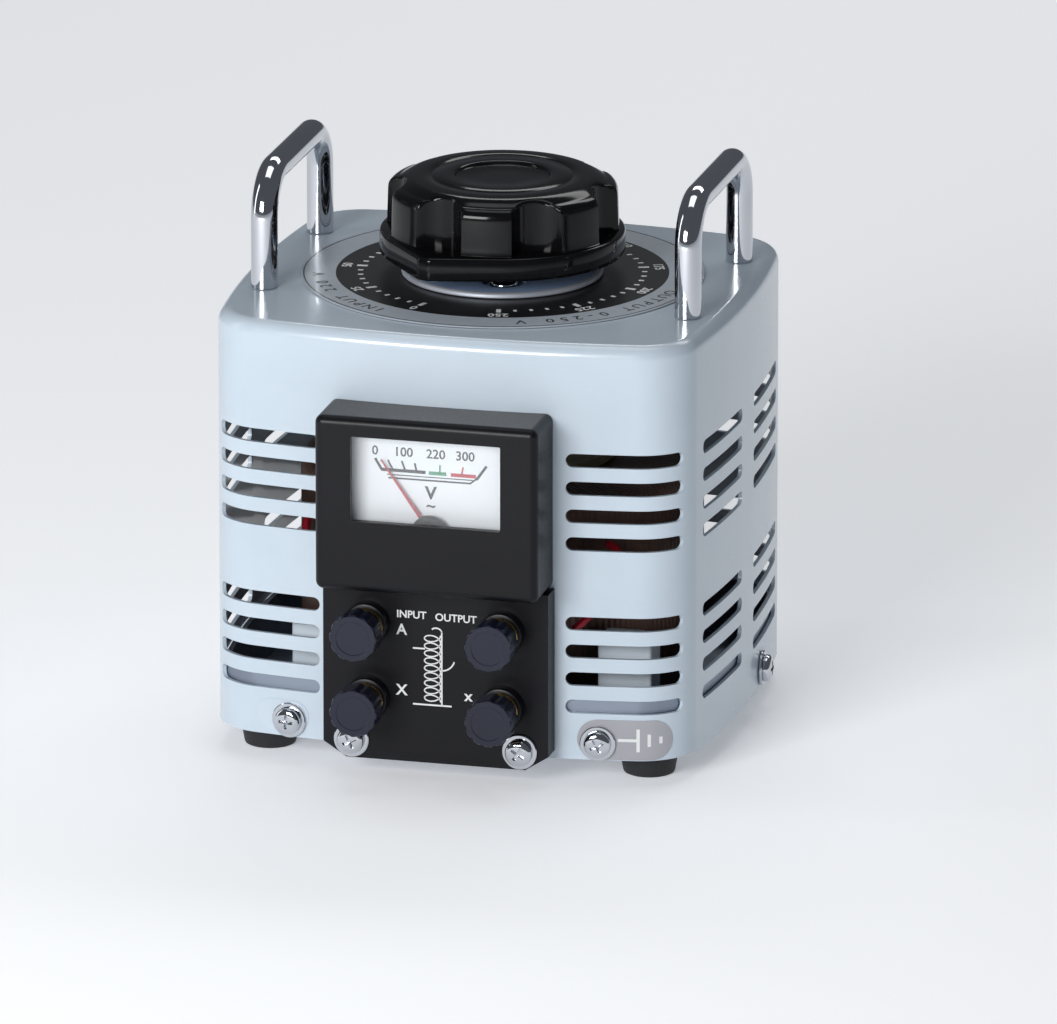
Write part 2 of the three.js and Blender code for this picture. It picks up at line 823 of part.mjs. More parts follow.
function brushHolder() {
  const bottom = arm_bottom - holder_drop;
  const x = brush_length / 2 + running_gap;
  const y = brush_width / 2 + running_gap;
  const w = holder_wall;
  const z1 = bottom + holder_height;
  const outside = box(brush_circle - x - w, brush_circle + x + w, -y - w, y + w, bottom, z1);
  const inside = box(brush_circle - x, brush_circle + x, -y, y, bottom - 1, z1 - w);
  const vent = cylinder(1, z1 - 2 * w, z1 + 1, brush_circle, 0, 8);
  return outside.subtract(inside).subtract(vent);
}

const brush_bottom = coil_top + gap / 2;
const brush_top = brush_bottom + brush_height;
const spring_seat = arm_bottom - holder_drop + holder_height - holder_wall;

function carbonBrush() {
  const l = brush_length / 2;
  const w = brush_width / 2;
  return box(brush_circle - l, brush_circle + l, -w, w, brush_bottom, brush_top);
}

class SpringCurve extends THREE.Curve {
  getPoint(t, target = new THREE.Vector3()) {
    const low = brush_top + gap / 2 + spring_wire;
    const high = spring_seat - gap / 2 - spring_wire;
    const a = 2 * Math.PI * spring_turns * t;
    return target.set(
      brush_circle + spring_radius * Math.cos(a),
      spring_radius * Math.sin(a),
      low + (high - low) * t,
    );
  }
}

// ---- meter and terminals ----
function shellFront(width, z0, z1, front, edge) {
  const half = width / 2;
  const ring = (inset, y) => [
    new THREE.Vector3(-half + inset, y, z0 + inset),
    new THREE.Vector3(-half + inset, y, z1 - inset),
    new THREE.Vector3(half - inset, y, z1 - inset),
    new THREE.Vector3(half - inset, y, z0 + inset),
  ];
  const back = case_front + shell_depth;
  const middle = edge * (1 - Math.SQRT1_2);
  return loft([
    ring(edge, front),
    ring(middle, front + middle),
    ring(0, front + edge),
    ring(0, back),
  ]);
}

function meterBox() {
  let made = shellFront(meter_width, meter_bottom, meter_top, meter_front, meter_edge);
  const half = meter_width / 2 - meter_wall;
  const inside = box(
    -half, half, meter_front + meter_wall, case_front + 12,
    meter_bottom + meter_wall, meter_top - meter_wall,
  );
  const w = window_width / 2;
  const opening = box(-w, w, meter_front - 1, meter_front + 5, window_bottom, window_top);
  made = made.subtract(inside).subtract(opening);
  return made.subtract(caseSolid(-gap, case_bottom - gap, case_top));
}

const pane_front = meter_front + meter_wall + gap;
const card_front = pane_front + window_thickness + card_setback;
const needle_y = card_front - needle_stand_off;

function meterWindow() {
  const w = window_width / 2 + window_margin;
  return box(
    -w, w, pane_front, pane_front + window_thickness,
    window_bottom - window_margin, window_top + window_margin,
  );
}

const card_bottom = needle_pivot_z - card_below_pivot;

function scaleCard() {
  const w = card_width / 2;
  const back = card_front + card_thickness;
  const card = box(-w, w, card_front, back, card_bottom, card_bottom + card_height + 2);
  return card.subtract(
    barAlongY(needle_axle_radius + 0.5, card_front - 1, back + 1, 0, needle_pivot_z, 12),
  );
}

function movement() {
  const w = movement_width / 2;
  const front = card_front + card_thickness + gap;
  const low = needle_pivot_z - movement_height / 2 + movement_rise;
  const frame = box(-w, w, front, front + movement_frame, low, low + movement_height);
  const magnet = barAlongY(
    movement_height / 2 - 2, front + 3, front + movement_depth, 0, low + movement_height / 2, 24,
  );
  return frame.add(magnet).subtract(
    barAlongY(needle_axle_radius + running_gap, front - 1, front + 4, 0, needle_pivot_z, 16),
  );
}

function needle() {
  const y0 = needle_y - needle_thickness / 2;
  const y1 = needle_y + needle_thickness / 2;
  const section = (half, z) => [
    new THREE.Vector3(-half, y0, z),
    new THREE.Vector3(half, y0, z),
    new THREE.Vector3(half, y1, z),
    new THREE.Vector3(-half, y1, z),
  ];
  const blade = loft([section(needle_root_half, -needle_tail), section(needle_tip_half, needle_length)]);
  const hub = barAlongY(needle_hub_radius, y0 - 0.5, y1 + 0.3, 0, 0, 16);
  const axle_end = card_front + card_thickness + gap + needle_axle_reach;
  const axle = barAlongY(needle_axle_radius, needle_y, axle_end, 0, 0, 16);
  return blade.add(hub).add(axle);
}

function terminalPanel() {
  const h = panel_width / 2;
  const cut = panel_corner_cut;
  const outline = [
    new THREE.Vector2(-h + cut, panel_bottom),
    new THREE.Vector2(h - cut, panel_bottom),
    new THREE.Vector2(h, panel_bottom + panel_corner_rise),
    new THREE.Vector2(h, panel_top),
    new THREE.Vector2(-h, panel_top),
    new THREE.Vector2(-h, panel_bottom + panel_corner_rise),
  ];
  const back = case_front + 4;
  // the outline is drawn in x and z, so it is extruded along Y
  const plate = prism(outline, 0, back - panel_front).rotate([90, 0, 0]);
  let made = move(plate, 0, back, 0);
  const w = h - panel_wall;
  made = made.subtract(box(
    -w, w, panel_front + panel_wall, back + 1, case_bottom + 8, panel_top - panel_wall,
  ));
  made = made.subtract(caseSolid(-gap, case_bottom - gap, case_top));
  for (const { x, z } of Object.values(posts)) {
    made = made.subtract(barAlongY(stud_radius + hole_gap, panel_front - 2, back, x, z, 16));
  }
  for (const x of [-panel_screw_x, panel_screw_x]) {
    made = made.subtract(
      barAlongY(screw_radius + hole_gap, panel_front - 2, back, x, panel_screw_z, 12),
    );
  }
  return made;
}

const posts = {
  input_a: { x: -post_x, z: post_upper_z },
  input_x: { x: -post_x, z: post_lower_z },
  output_a: { x: post_x, z: post_upper_z },
  output_x: { x: post_x, z: post_lower_z },
};
const stud_front = cap_front + cap_cover;
const stud_back = panel_front + panel_wall + stud_inside;

function postStud(x, z) {
  const flange_back = panel_front + panel_wall + gap + stud_flange;
  const flange = barAlongY(stud_radius + stud_flange, panel_front + panel_wall + gap, flange_back, x, z, 6);
  return barAlongY(stud_radius, stud_front, stud_back, x, z, 16).add(flange);
}

function postCollar(x, z) {
  return barAlongY(collar_radius, collar_front, panel_front - gap, x, z, 16).subtract(
    barAlongY(stud_radius + hole_gap, collar_front - 1, panel_front + 1, x, z, 10),
  );
}

function postWasher(x, z) {
  const front = washer_front;
  return barAlongY(washer_radius, front, front + washer_thickness, x, z, 16).subtract(
    barAlongY(stud_radius + running_gap * 2, front - 1, front + washer_thickness + 1, x, z, 16),
  );
}

function postCap(x, z) {
  const neck_front = cap_back - cap_neck_length;
  let cap = barAlongY(cap_neck_radius, neck_front - 1, cap_back, x, z, 16);
  const rim = new THREE.Shape();
  const steps = cap_flutes * 2;
  for (let i = 0; i < steps; i++) {
    const r = i % 2 ? cap_radius : cap_radius - 0.5;
    const a = (2 * Math.PI * i) / steps;
    if (i === 0) rim.moveTo(r * Math.cos(a), r * Math.sin(a));
    else rim.lineTo(r * Math.cos(a), r * Math.sin(a));
  }
  const head = new THREE.ExtrudeGeometry(rim, { depth: cap_length, bevelEnabled: false });
  head.rotateX(Math.PI / 2);
  head.translate(x, neck_front, z);
  cap = cap.add(solid(head));
  const bore_front = stud_front - gap;
  return cap.subtract(
    barAlongY(stud_radius + running_gap * 2, bore_front, cap_back + 1, x, z, 16),
  );
}

function panelScrew(x) {
  const turned = screw().rotate([90, 0, 0]);
  return move(turned, x, panel_front, panel_screw_z);
}

function earthLabel() {
  const half = earth_label_height / 2;
  const reach = earth_label_width / 2 - half;
  const shape = new THREE.Shape();
  shape.absarc(reach, 0, half, -Math.PI / 2, Math.PI / 2, false);
  shape.absarc(-reach, 0, half, Math.PI / 2, (3 * Math.PI) / 2, false);
  const thick = new THREE.ExtrudeGeometry(shape, {
    depth: 20, bevelEnabled: false, curveSegments: 6,
  });
  thick.rotateX(Math.PI / 2);
  thick.translate(case_screw_x + earth_label_offset, case_front + 18, case_screw_z + 0.9);
  const bottom = case_bottom + gap;
  const skin = loft([
    planRing(-gap / 3 - earth_label_thickness, bottom),
    planRing(-gap / 3 - earth_label_thickness, case_bottom + 20),
  ]).subtract(loft([planRing(-gap / 3, bottom - 1), planRing(-gap / 3, case_bottom + 21)]));
  const hole = onWall(cylinder(screw_washer_radius + 0.4, -6, 6), front_screw_normals.earth_screw,
    case_screw_z, 0);
  return skin.intersect(solid(thick)).subtract(hole);
}

// A wire from a post's stud, round the coil's corner, to a tap on the coil's side.
function lead(side, z, tap_z) {
  const start = new THREE.Vector3(side * post_x, stud_back + gap, z);
  const straight = new THREE.Vector3(side * post_x, stud_back + gap + 1.6, z);
  const turned = new THREE.Vector3(side * (post_x + 6), stud_back + 4.2, z + 2);
  const corner = new THREE.Vector3(side * 43, -57, (z + tap_z) / 2);
  const near_tap = coil_outer_radius + 6;
  const tap = coil_outer_radius + gap;
  const end_angle = radians(-44);
  const x = side * Math.cos(end_angle);
  const y = Math.sin(end_angle);
  const near = new THREE.Vector3(near_tap * x, near_tap * y, tap_z - 1);
  const end = new THREE.Vector3(tap * x, tap * y, tap_z);
  const curve = new THREE.CatmullRomCurve3([start, straight, turned, corner, near, end]);
  return rod(curve, lead_radius, 6, 18);
}

// ---- materials ----
function finish(color, roughness, metalness) {
  return new THREE.MeshStandardMaterial({ color, roughness, metalness });
}
const enamel = finish(0xc3ccd6, 0.32, 0.1);
const zinc_plate = finish(0xb4b8ba, 0.4, 0.9);
const chrome = finish(0xd8dade, 0.08, 1);
const black_gloss = finish(0x0b0b0c, 0.12, 0);
const black_moulding = finish(0x131417, 0.35, 0);
const rubber = finish(0x151516, 0.8, 0);
const dial_print = finish(0x101012, 0.4, 0.1);
const blue_steel = finish(0x5b6d8c, 0.35, 0.8);
const copper_wire = finish(0x8a5a36, 0.4, 0.8);
const core_steel = finish(0x54565a, 0.5, 0.9);
const insulation = finish(0xc8b98e, 0.7, 0);
const brass = finish(0xb89a58, 0.35, 0.9);
const cast_aluminium = finish(0x9fa2a5, 0.5, 0.9);
const carbon = finish(0x1c1c1e, 0.7, 0.1);
const clear = finish(0xdfe6ea, 0.05, 0);
const card_white = finish(0xe6ebee, 0.6, 0);
const needle_red = finish(0xb3202c, 0.4, 0);
const label_film = finish(0xd5dade, 0.2, 0);
const red_wire = finish(0xb02030, 0.5, 0);

// ---- assembly ----
const assembly = new THREE.Group();
const variac = new THREE.Group();
variac.position.y = group_shift;
assembly.add(variac);

function add(name, made, material) {
  const mesh = new THREE.Mesh(geometryOf(made), material);
  mesh.name = name;
  variac.add(mesh);
  return mesh;
}

add("case_cover", caseCover(), enamel);
add("base_plate", basePlate(), zinc_plate);
const foot_sides = { left: -foot_x, right: foot_x };
const foot_rows = { front: -foot_y, rear: foot_y };
for (const [row, y] of Object.entries(foot_rows)) {
  for (const [side, x] of Object.entries(foot_sides)) {
    const mesh = add(`foot_${row}_${side}`, foot(), rubber);
    mesh.position.set(x, y - case_forward, 0);
  }
}
for (const [side, x] of Object.entries(handle_sides)) {
  add(`handle_${side}`, handle(x), chrome);
  for (const [leg, y] of Object.entries(handle_legs)) {
    const mesh = add(`handle_nut_${side}_${leg}`, nut(handle_stud_radius), zinc_plate);
    mesh.position.set(x, y, case_top - case_wall - gap - nut_height);
  }
}
add("dial_plate", dialPlate(), dial_print);
add("hub_plate", hubPlate(), blue_steel);
hubScrewPlaces().forEach(([x, y], i) => {
  const mesh = add(`hub_screw_${i + 1}`, screw(), chrome);
  mesh.position.set(x, y, case_top);
});
add("knob", knob(), black_gloss);
add("grub_screw", grubBar(grub_radius, shaft_radius + gap, shaft_radius + gap + grub_length), zinc_plate);
add("shaft", cylinder(shaft_radius, shaft_bottom, shaft_top, 0, 0, 32), zinc_plate);
const arm_turn = radians(pointer_angle);
add("brush_arm", brushArm(), cast_aluminium).rotation.z = arm_turn;
add("brush_holder", brushHolder(), brass).rotation.z = arm_turn;
add("carbon_brush", carbonBrush(), carbon).rotation.z = arm_turn;
add("brush_spring", rod(new SpringCurve(), spring_wire, 5, 32), brass).rotation.z = arm_turn;
add("core", core(), core_steel);
add("winding", winding(), copper_wire);
add("lower_insulating_ring", lowerRing(), insulation);
add("clamp_plate", clampPlate(), insulation);
add("bearing_sleeve", sleeve(), brass);
add("clamp_nut", clampNut(), zinc_plate);
add("terminal_panel", terminalPanel(), black_moulding);
add("meter_box", meterBox(), black_gloss);
add("meter_window", meterWindow(), clear);
add("scale_card", scaleCard(), card_white);
add("meter_movement", movement(), black_moulding);
const needle_mesh = add("needle", needle(), needle_red);
needle_mesh.position.z = needle_pivot_z;
needle_mesh.rotation.y = -radians(needle_zero);
for (const [name, { x, z }] of Object.entries(posts)) {
  add(`stud_${name}`, postStud(x, z), brass);
  add(`collar_${name}`, postCollar(x, z), black_moulding);
  add(`washer_${name}`, postWasher(x, z), brass);
  add(`cap_${name}`, postCap(x, z), black_moulding);
}
add("panel_screw_left", panelScrew(-panel_screw_x), chrome);
add("panel_screw_right", panelScrew(panel_screw_x), chrome);
for (const [name, normal] of Object.entries(case_screw_normals)) {
  const label_room = name === "earth_screw" ? earth_label_thickness : 0;
  add(name, onWall(screw(gap + label_room), normal, case_screw_z, 0), chrome);
}
add("earth_label", earthLabel(), label_film);
add("input_lead", lead(-1, post_upper_z, 70), red_wire);
add("output_lead", lead(1, post_lower_z + 10, 66), red_wire);

export default assembly;
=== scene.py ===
import math

import bpy
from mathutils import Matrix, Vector


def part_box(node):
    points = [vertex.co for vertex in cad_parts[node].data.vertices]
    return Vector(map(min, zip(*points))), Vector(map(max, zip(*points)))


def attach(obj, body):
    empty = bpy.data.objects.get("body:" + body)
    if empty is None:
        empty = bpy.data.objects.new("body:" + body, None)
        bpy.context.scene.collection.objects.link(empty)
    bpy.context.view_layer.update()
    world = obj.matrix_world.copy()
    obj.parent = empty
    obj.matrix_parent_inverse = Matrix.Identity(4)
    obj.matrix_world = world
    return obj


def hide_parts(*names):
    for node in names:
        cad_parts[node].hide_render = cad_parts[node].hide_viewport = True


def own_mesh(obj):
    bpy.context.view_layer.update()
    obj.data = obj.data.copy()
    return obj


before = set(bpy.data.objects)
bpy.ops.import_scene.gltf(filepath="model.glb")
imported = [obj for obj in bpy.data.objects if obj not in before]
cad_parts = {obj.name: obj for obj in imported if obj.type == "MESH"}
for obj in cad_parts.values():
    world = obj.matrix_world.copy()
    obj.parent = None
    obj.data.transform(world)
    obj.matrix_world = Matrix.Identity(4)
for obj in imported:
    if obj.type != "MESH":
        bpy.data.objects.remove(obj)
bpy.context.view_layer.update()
bpy.ops.object.select_all(action="DESELECT")

# ---- Case cover ----
# One sheet-steel cover, 1.2 mm thick, with bowed sides, round corners and a rolled top edge.
# The vent slots are punched before it is enamelled, so the enamel runs round their edges.
MM = 0.001
case_width = 152
case_depth = 139
side_bow = 6.2
front_bow = 8
corner_radius = 18
top_edge_radius = 4
case_wall = 1.2
case_low, case_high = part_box("case_cover")
case_middle_y = (case_low.y + case_high.y) / 2 / MM
case_bottom = case_low.z / MM
case_top = case_high.z / MM
shaft_y = (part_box("shaft")[0].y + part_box("shaft")[1].y) / 2 / MM

side_radius = ((case_depth / 2) ** 2 + side_bow**2) / (2 * side_bow)
front_radius = ((case_width / 2) ** 2 + front_bow**2) / (2 * front_bow)
side_centre = Vector((case_width / 2 - side_radius, 0))
front_centre = Vector((0, case_depth / 2 - front_radius))
between = front_centre - side_centre
reach_side = side_radius - corner_radius
reach_front = front_radius - corner_radius
along = (reach_side**2 - reach_front**2 + between.length_squared) / (2 * between.length)
across = math.sqrt(reach_side**2 - along**2)
between.normalize()
corner_centre = side_centre + between * along + Vector((-between.y, between.x)) * across
if corner_centre.x < 0:
    corner_centre = side_centre + between * along - Vector((-between.y, between.x)) * across
from_side = corner_centre - side_centre
from_front = corner_centre - front_centre
side_end_angle = math.atan2(from_side.y, from_side.x)
corner_end_angle = math.atan2(from_front.y, from_front.x)


def plan_point(normal, inset=0):
    """The point of the case's plan that faces the angle normal, in mm from the shaft's line."""
    t = math.atan2(abs(math.sin(normal)), abs(math.cos(normal)))
    centre, radius = corner_centre, corner_radius
    if t < side_end_angle:
        centre, radius = side_centre, side_radius
    elif t > corner_end_angle:
        centre, radius = front_centre, front_radius
    x = math.copysign(centre.x + (radius - inset) * math.cos(t), math.cos(normal))
    y = math.copysign(centre.y + (radius - inset) * math.sin(t), math.sin(normal))
    return Vector((x, y + case_middle_y))


def plan_facing(x, y):
    """The outward direction of the case's wall nearest a point, in mm."""
    px, py = abs(x), abs(y - case_middle_y)
    t = math.atan2(py - corner_centre.y, px - corner_centre.x)
    on_front = px < corner_centre.x and py > corner_centre.y
    nearer_front = py > px * 0.7
    if on_front or t > corner_end_angle and nearer_front:
        t = math.atan2(py - front_centre.y, px)
    elif t < side_end_angle or py < corner_centre.y:
        t = math.atan2(py, px - side_centre.x)
    return Vector(
        (math.copysign(math.cos(t), x), math.copysign(math.sin(t), y - case_middle_y), 0)
    )


def pick(piece):
    """Selects only this piece, and makes it the active one."""
    bpy.ops.object.select_all(action="DESELECT")
    piece.select_set(True)
    bpy.context.view_layer.objects.active = piece


def place(piece, name, at=(0, 0, 0), turn=(0, 0, 0)):
    """Names a piece and puts its turn, in degrees, and its place, in mm, into its mesh."""
    piece.name = name
    piece.data.name = name
    piece.rotation_euler = [math.radians(a) for a in turn]
    piece.location = Vector(at) * MM
    pick(piece)
    bpy.ops.object.transform_apply(location=True, rotation=True, scale=True)
    return piece


def modify(piece, kind, **settings):
    """Adds a modifier with its settings and applies it."""
    pick(piece)
    modifier = piece.modifiers.new(kind, kind)
    for key, value in settings.items():
        setattr(modifier, key, value)
    bpy.ops.object.modifier_apply(modifier=modifier.name)
    return piece


def join(pieces, name):
    pick(pieces[0])
    for piece in pieces:
        piece.select_set(True)
    bpy.ops.object.join()
    return place(bpy.context.active_object, name)


def cut(piece, cutter):
    """Takes the cutter's shape out of the piece, and deletes the cutter."""
    modify(piece, "BOOLEAN", operation="DIFFERENCE", object=cutter, solver="EXACT")
    bpy.data.objects.remove(cutter)
    return piece


def smooth(piece, angle=30):
    pick(piece)
    bpy.ops.object.shade_smooth_by_angle(angle=math.radians(angle))
    return piece


def clean(piece):
    """Welds doubled points and turns all faces outwards."""
    weld_distance = 0.002
    pick(piece)
    bpy.ops.object.mode_set(mode="EDIT")
    bpy.ops.mesh.select_all(action="SELECT")
    bpy.ops.mesh.remove_doubles(threshold=weld_distance * MM)
    bpy.ops.mesh.normals_make_consistent(inside=False)
    bpy.ops.object.mode_set(mode="OBJECT")
    return piece


def copied(piece):
    pick(piece)
    bpy.ops.object.duplicate()
    return bpy.context.active_object


def select_faces(piece, wanted):
    """Leaves the piece in edit mode with only the wanted faces selected."""
    bpy.context.view_layer.objects.active = piece
    if piece.mode == "OBJECT":
        bpy.ops.object.mode_set(mode="EDIT")
    bpy.ops.mesh.select_mode(type="FACE")
    bpy.ops.mesh.select_all(action="DESELECT")
    bpy.ops.object.mode_set(mode="OBJECT")
    for face in piece.data.polygons:
        face.select = wanted(face)
    bpy.ops.object.mode_set(mode="EDIT")


def srgb(code):
    """The linear colour of an sRGB hex value."""
    channels = [int(code[i : i + 2], 16) / 255 for i in (1, 3, 5)]
    linear = [c / 12.92 if c <= 0.04045 else ((c + 0.055) / 1.055) ** 2.4 for c in channels]
    return (*linear, 1)


def add_node(material, kind, settings=None, links=None, **fields):
    """Adds a node with its input values, the outputs it is linked from, and its fields."""
    node = material.node_tree.nodes.new(kind)
    for key, value in fields.items():
        setattr(node, key, value)
    for key, value in (settings or {}).items():
        node.inputs[key].default_value = value
    for key, source in (links or {}).items():
        material.node_tree.links.new(source, node.inputs[key])
    return node


def start_material(name, color, roughness, metallic=0):
    """A material with its shader and the point on the piece, in metres."""
    material = bpy.data.materials.new(name)
    material.use_nodes = True
    material.node_tree.nodes.clear()
    shader = add_node(
        material, "ShaderNodeBsdfPrincipled",
        {"Base Color": srgb(color), "Roughness": roughness, "Metallic": metallic},
    )
    add_node(material, "ShaderNodeOutputMaterial", None, {"Surface": shader.outputs[0]})
    point = add_node(material, "ShaderNodeTexCoord").outputs["Object"]
    return material, shader, point


def grained(name, color, roughness, metallic, size, low, high, bump, light, dark,
            streaks=(1, 1, 1), **inputs):
    """A material with a grain, size mm across, that varies its roughness, colour and relief."""
    patch_size = 22
    material, shader, point = start_material(name, color, roughness, metallic)
    stretched = add_node(material, "ShaderNodeMapping", {"Scale": streaks}, {"Vector": point})
    grain = add_node(
        material, "ShaderNodeTexNoise", {"Scale": 1 / (size * MM), "Detail": 4},
        {"Vector": stretched.outputs[0]},
    )
    broad = add_node(
        material, "ShaderNodeTexNoise", {"Scale": 1 / (patch_size * MM), "Detail": 3},
        {"Vector": point},
    )
    tone = add_node(
        material, "ShaderNodeMix", {6: srgb(light), 7: srgb(dark)},
        {0: broad.outputs["Fac"]}, data_type="RGBA",
    )
    gloss = add_node(
        material, "ShaderNodeMapRange", {"To Min": low, "To Max": high},
        {"Value": grain.outputs["Fac"]},
    )
    relief = add_node(
        material, "ShaderNodeBump", {"Strength": 1, "Distance": bump * MM},
        {"Height": grain.outputs["Fac"]},
    )
    links = material.node_tree.links
    links.new(tone.outputs[2], shader.inputs["Base Color"])
    links.new(gloss.outputs[0], shader.inputs["Roughness"])
    links.new(relief.outputs[0], shader.inputs["Normal"])
    for key, value in inputs.items():
        shader.inputs[key.replace("_", " ")].default_value = value
    return material


def fit(piece, material, body, slot, *nodes):
    """Finishes a piece, which rides on a body and stands for CAD nodes."""
    piece.data.materials.clear()
    piece.data.materials.append(material)
    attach(piece, body)
    if nodes:
        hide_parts(*nodes)
    return piece


def dress(material, *nodes):
    """Gives CAD nodes that are shown as they are their material."""
    for name in nodes:
        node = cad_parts[name]
        node.data.materials.clear()
        node.data.materials.append(material)


# Stove enamel: a hard gloss coat with a faint orange peel about 1.5 mm across.
enamel = grained(
    "stove_enamel", "#c3d0db", 0.22, 0, 1.5, 0.2, 0.3, 0.006, "#c8d5e0", "#bccad6",
    Coat_Weight=0.4, Coat_Roughness=0.08,
)

plan_angles = []
wall_steps, corner_steps = 14, 24
for quarter in range(4):
    ends = [0, side_end_angle, corner_end_angle, math.pi / 2]
    if quarter % 2:
        ends = [math.pi / 2 - end for end in reversed(ends)]
    turn = quarter * math.pi / 2
    for start, end, steps in zip(ends, ends[1:], (wall_steps, corner_steps, wall_steps)):
        plan_angles += [turn + start + (end - start) * k / steps for k in range(steps)]


def plan_sheet(inset, height):
    """A sheet of the case's plan, drawn upwards, in edit mode with its top face selected."""
    bpy.ops.mesh.primitive_circle_add(vertices=len(plan_angles), radius=1, fill_type="NGON")
    piece = bpy.context.active_object
    for vertex, angle in zip(piece.data.vertices, plan_angles):
        corner = plan_point(angle, inset)
        vertex.co = Vector((corner.x, corner.y, case_bottom)) * MM
    bpy.ops.object.mode_set(mode="EDIT")
    bpy.ops.mesh.select_mode(type="FACE")
    bpy.ops.mesh.select_all(action="SELECT")
    bpy.ops.mesh.extrude_region_move(TRANSFORM_OT_translate={"value": (0, 0, height * MM)})
    return piece


case_cover = plan_sheet(0, case_top - case_bottom)
bpy.ops.mesh.region_to_loop()
bpy.ops.mesh.bevel(offset=top_edge_radius * MM, segments=8, profile=0.5, affect="EDGES")
bpy.ops.object.mode_set(mode="OBJECT")

# The cover's outer form, about 0.3 mm larger all round, that the meter's box is cut to.
form_stretch_x, form_stretch_y = 1.004, 1.0043
form_drop, form_rise = 4, 0.3
case_form = clean(copied(case_cover))
for vertex in case_form.data.vertices:
    vertex.co.x *= form_stretch_x
    vertex.co.y = (vertex.co.y - case_middle_y * MM) * form_stretch_y + case_middle_y * MM
    vertex.co.z += (-form_drop if vertex.co.z < case_top / 2 * MM else form_rise) * MM

just_above = (case_bottom + 1) * MM
select_faces(case_cover, lambda face: len(face.vertices) > 10 and face.center.z < just_above)
bpy.ops.mesh.delete(type="FACE")
bpy.ops.object.mode_set(mode="OBJECT")
place(case_cover, "case_cover_enamelled")
clean(case_cover)
modify(case_cover, "SOLIDIFY", thickness=case_wall * MM, offset=-1)


def wall_bar(first, last, height, half, outer, inner):
    """A bar with round ends, bent round the case's wall from one angle to another."""
    bpy.ops.mesh.primitive_grid_add(x_subdivisions=36, y_subdivisions=2, size=2)
    bar = bpy.context.active_object
    bpy.ops.object.mode_set(mode="EDIT")
    bpy.ops.mesh.select_all(action="SELECT")
    bpy.ops.mesh.extrude_region_move(TRANSFORM_OT_translate={"value": (0, 0, 1)})
    bpy.ops.object.mode_set(mode="OBJECT")
    steps = 200
    angles = [first + (last - first) * k / steps for k in range(steps + 1)]
    lengths = [0]
    for a, b in zip(angles, angles[1:]):
        lengths.append(lengths[-1] + (plan_point(b) - plan_point(a)).length)
    for vertex in bar.data.vertices:
        u, v, w = vertex.co
        wanted = lengths[-1] * (1 + math.sin(u * math.pi / 2)) / 2
        k = next((i for i in range(1, steps) if lengths[i] >= wanted), steps)
        share = (wanted - lengths[k - 1]) / (lengths[k] - lengths[k - 1])
        angle = angles[k - 1] + (angles[k] - angles[k - 1]) * share
        from_end = min(wanted, lengths[-1] - wanted) / half
        round_end = math.sqrt(max(0, 1 - (1 - from_end) ** 2)) if from_end < 1 else 1
        spot = plan_point(angle, outer + (inner - outer) * w)
        vertex.co = Vector((spot.x, spot.y, height + v * half * round_end)) * MM
    return clean(bar)


def front_angle(x):
    """How far the front wall has turned away at x mm from its middle, round the corner too."""
    turned_away = math.asin(x / front_radius)
    if turned_away > math.pi / 2 - corner_end_angle:
        turned_away = math.asin(min(1, (x - corner_centre.x) / corner_radius))
    return turned_away


def side_angle(y):
    return math.asin(y / side_radius)


def front_cutter(width, low, high):
    """A cutter through the front wall, in mm, between two heights."""
    depth, behind = 11, 2.5
    bpy.ops.mesh.primitive_cube_add(size=1)
    cutter = bpy.context.active_object
    cutter.scale = (width * MM, depth * MM, (high - low) * MM)
    return place(cutter, "front_cutter", (0, case_low.y / MM + behind, (low + high) / 2))


def drill(radius, depth, at, sides=48, turn=(0, 0, 0)):
    """A round cutter, in mm, centred on a point and turned in degrees."""
    bpy.ops.mesh.primitive_cylinder_add(vertices=sides, radius=radius * MM, depth=depth * MM)
    return place(bpy.context.active_object, "drill", at, turn)


slot_height = 4.2
slot_pitch = 8.5
slot_rows = 4
slot_blocks = (34.9, 84.8)
slot_drops = [block + slot_pitch * row for block in slot_blocks for row in range(slot_rows)]
rear_half, side_near, side_far, front_near = 29, 7, 45, 37.4
corner_stop = math.radians(32)
slot_groups = [(math.pi / 2 - front_angle(rear_half), math.pi / 2 + front_angle(rear_half))]
for middle in (0, math.pi):
    slot_groups.append((middle + side_angle(side_near), middle + side_angle(side_far)))
    slot_groups.append((middle - side_angle(side_far), middle - side_angle(side_near)))
for middle in (math.pi / 2, 3 * math.pi / 2):
    slot_groups.append((middle + front_angle(front_near), middle + math.pi / 2 - corner_stop))
    slot_groups.append((middle - math.pi / 2 + corner_stop, middle - front_angle(front_near)))
cutters = []
slot_outer, slot_inner = -3, 5
for first, last in slot_groups:
    for drop in slot_drops:
        height = case_top - drop
        cutters.append(wall_bar(first, last, height, slot_height / 2, slot_outer, slot_inner))
meter_opening = (42, 68, 106)
post_opening = (56, 18, 55)
shaft_opening = 11
cutters += [front_cutter(*meter_opening), front_cutter(*post_opening)]
cutters.append(drill(shaft_opening, 10, (0, shaft_y, case_top)))
cut(case_cover, join(cutters, "case_cutters"))
smooth(case_cover, 35)

# The walls are shaded as the smooth sheet that the slots were punched from.
wall_facing = 0.93
facings = []
mesh = case_cover.data
for face in mesh.polygons:
    for index in face.loop_indices:
        spot = mesh.vertices[mesh.loops[index].vertex_index].co / MM
        out = plan_facing(spot.x, spot.y)
        rise = min(1, max(0, (spot.z - case_top + top_edge_radius) / top_edge_radius))
        lift = math.asin(rise)
        out = out * math.cos(lift) + Vector((0, 0, math.sin(lift)))
        if face.normal.dot(out) <= wall_facing:
            out = mesh.corner_normals[index].vector.copy()
        facings.append(out)
mesh.normals_split_custom_set(facings)
fit(case_cover, enamel, "frame", "enamel", "case_cover")

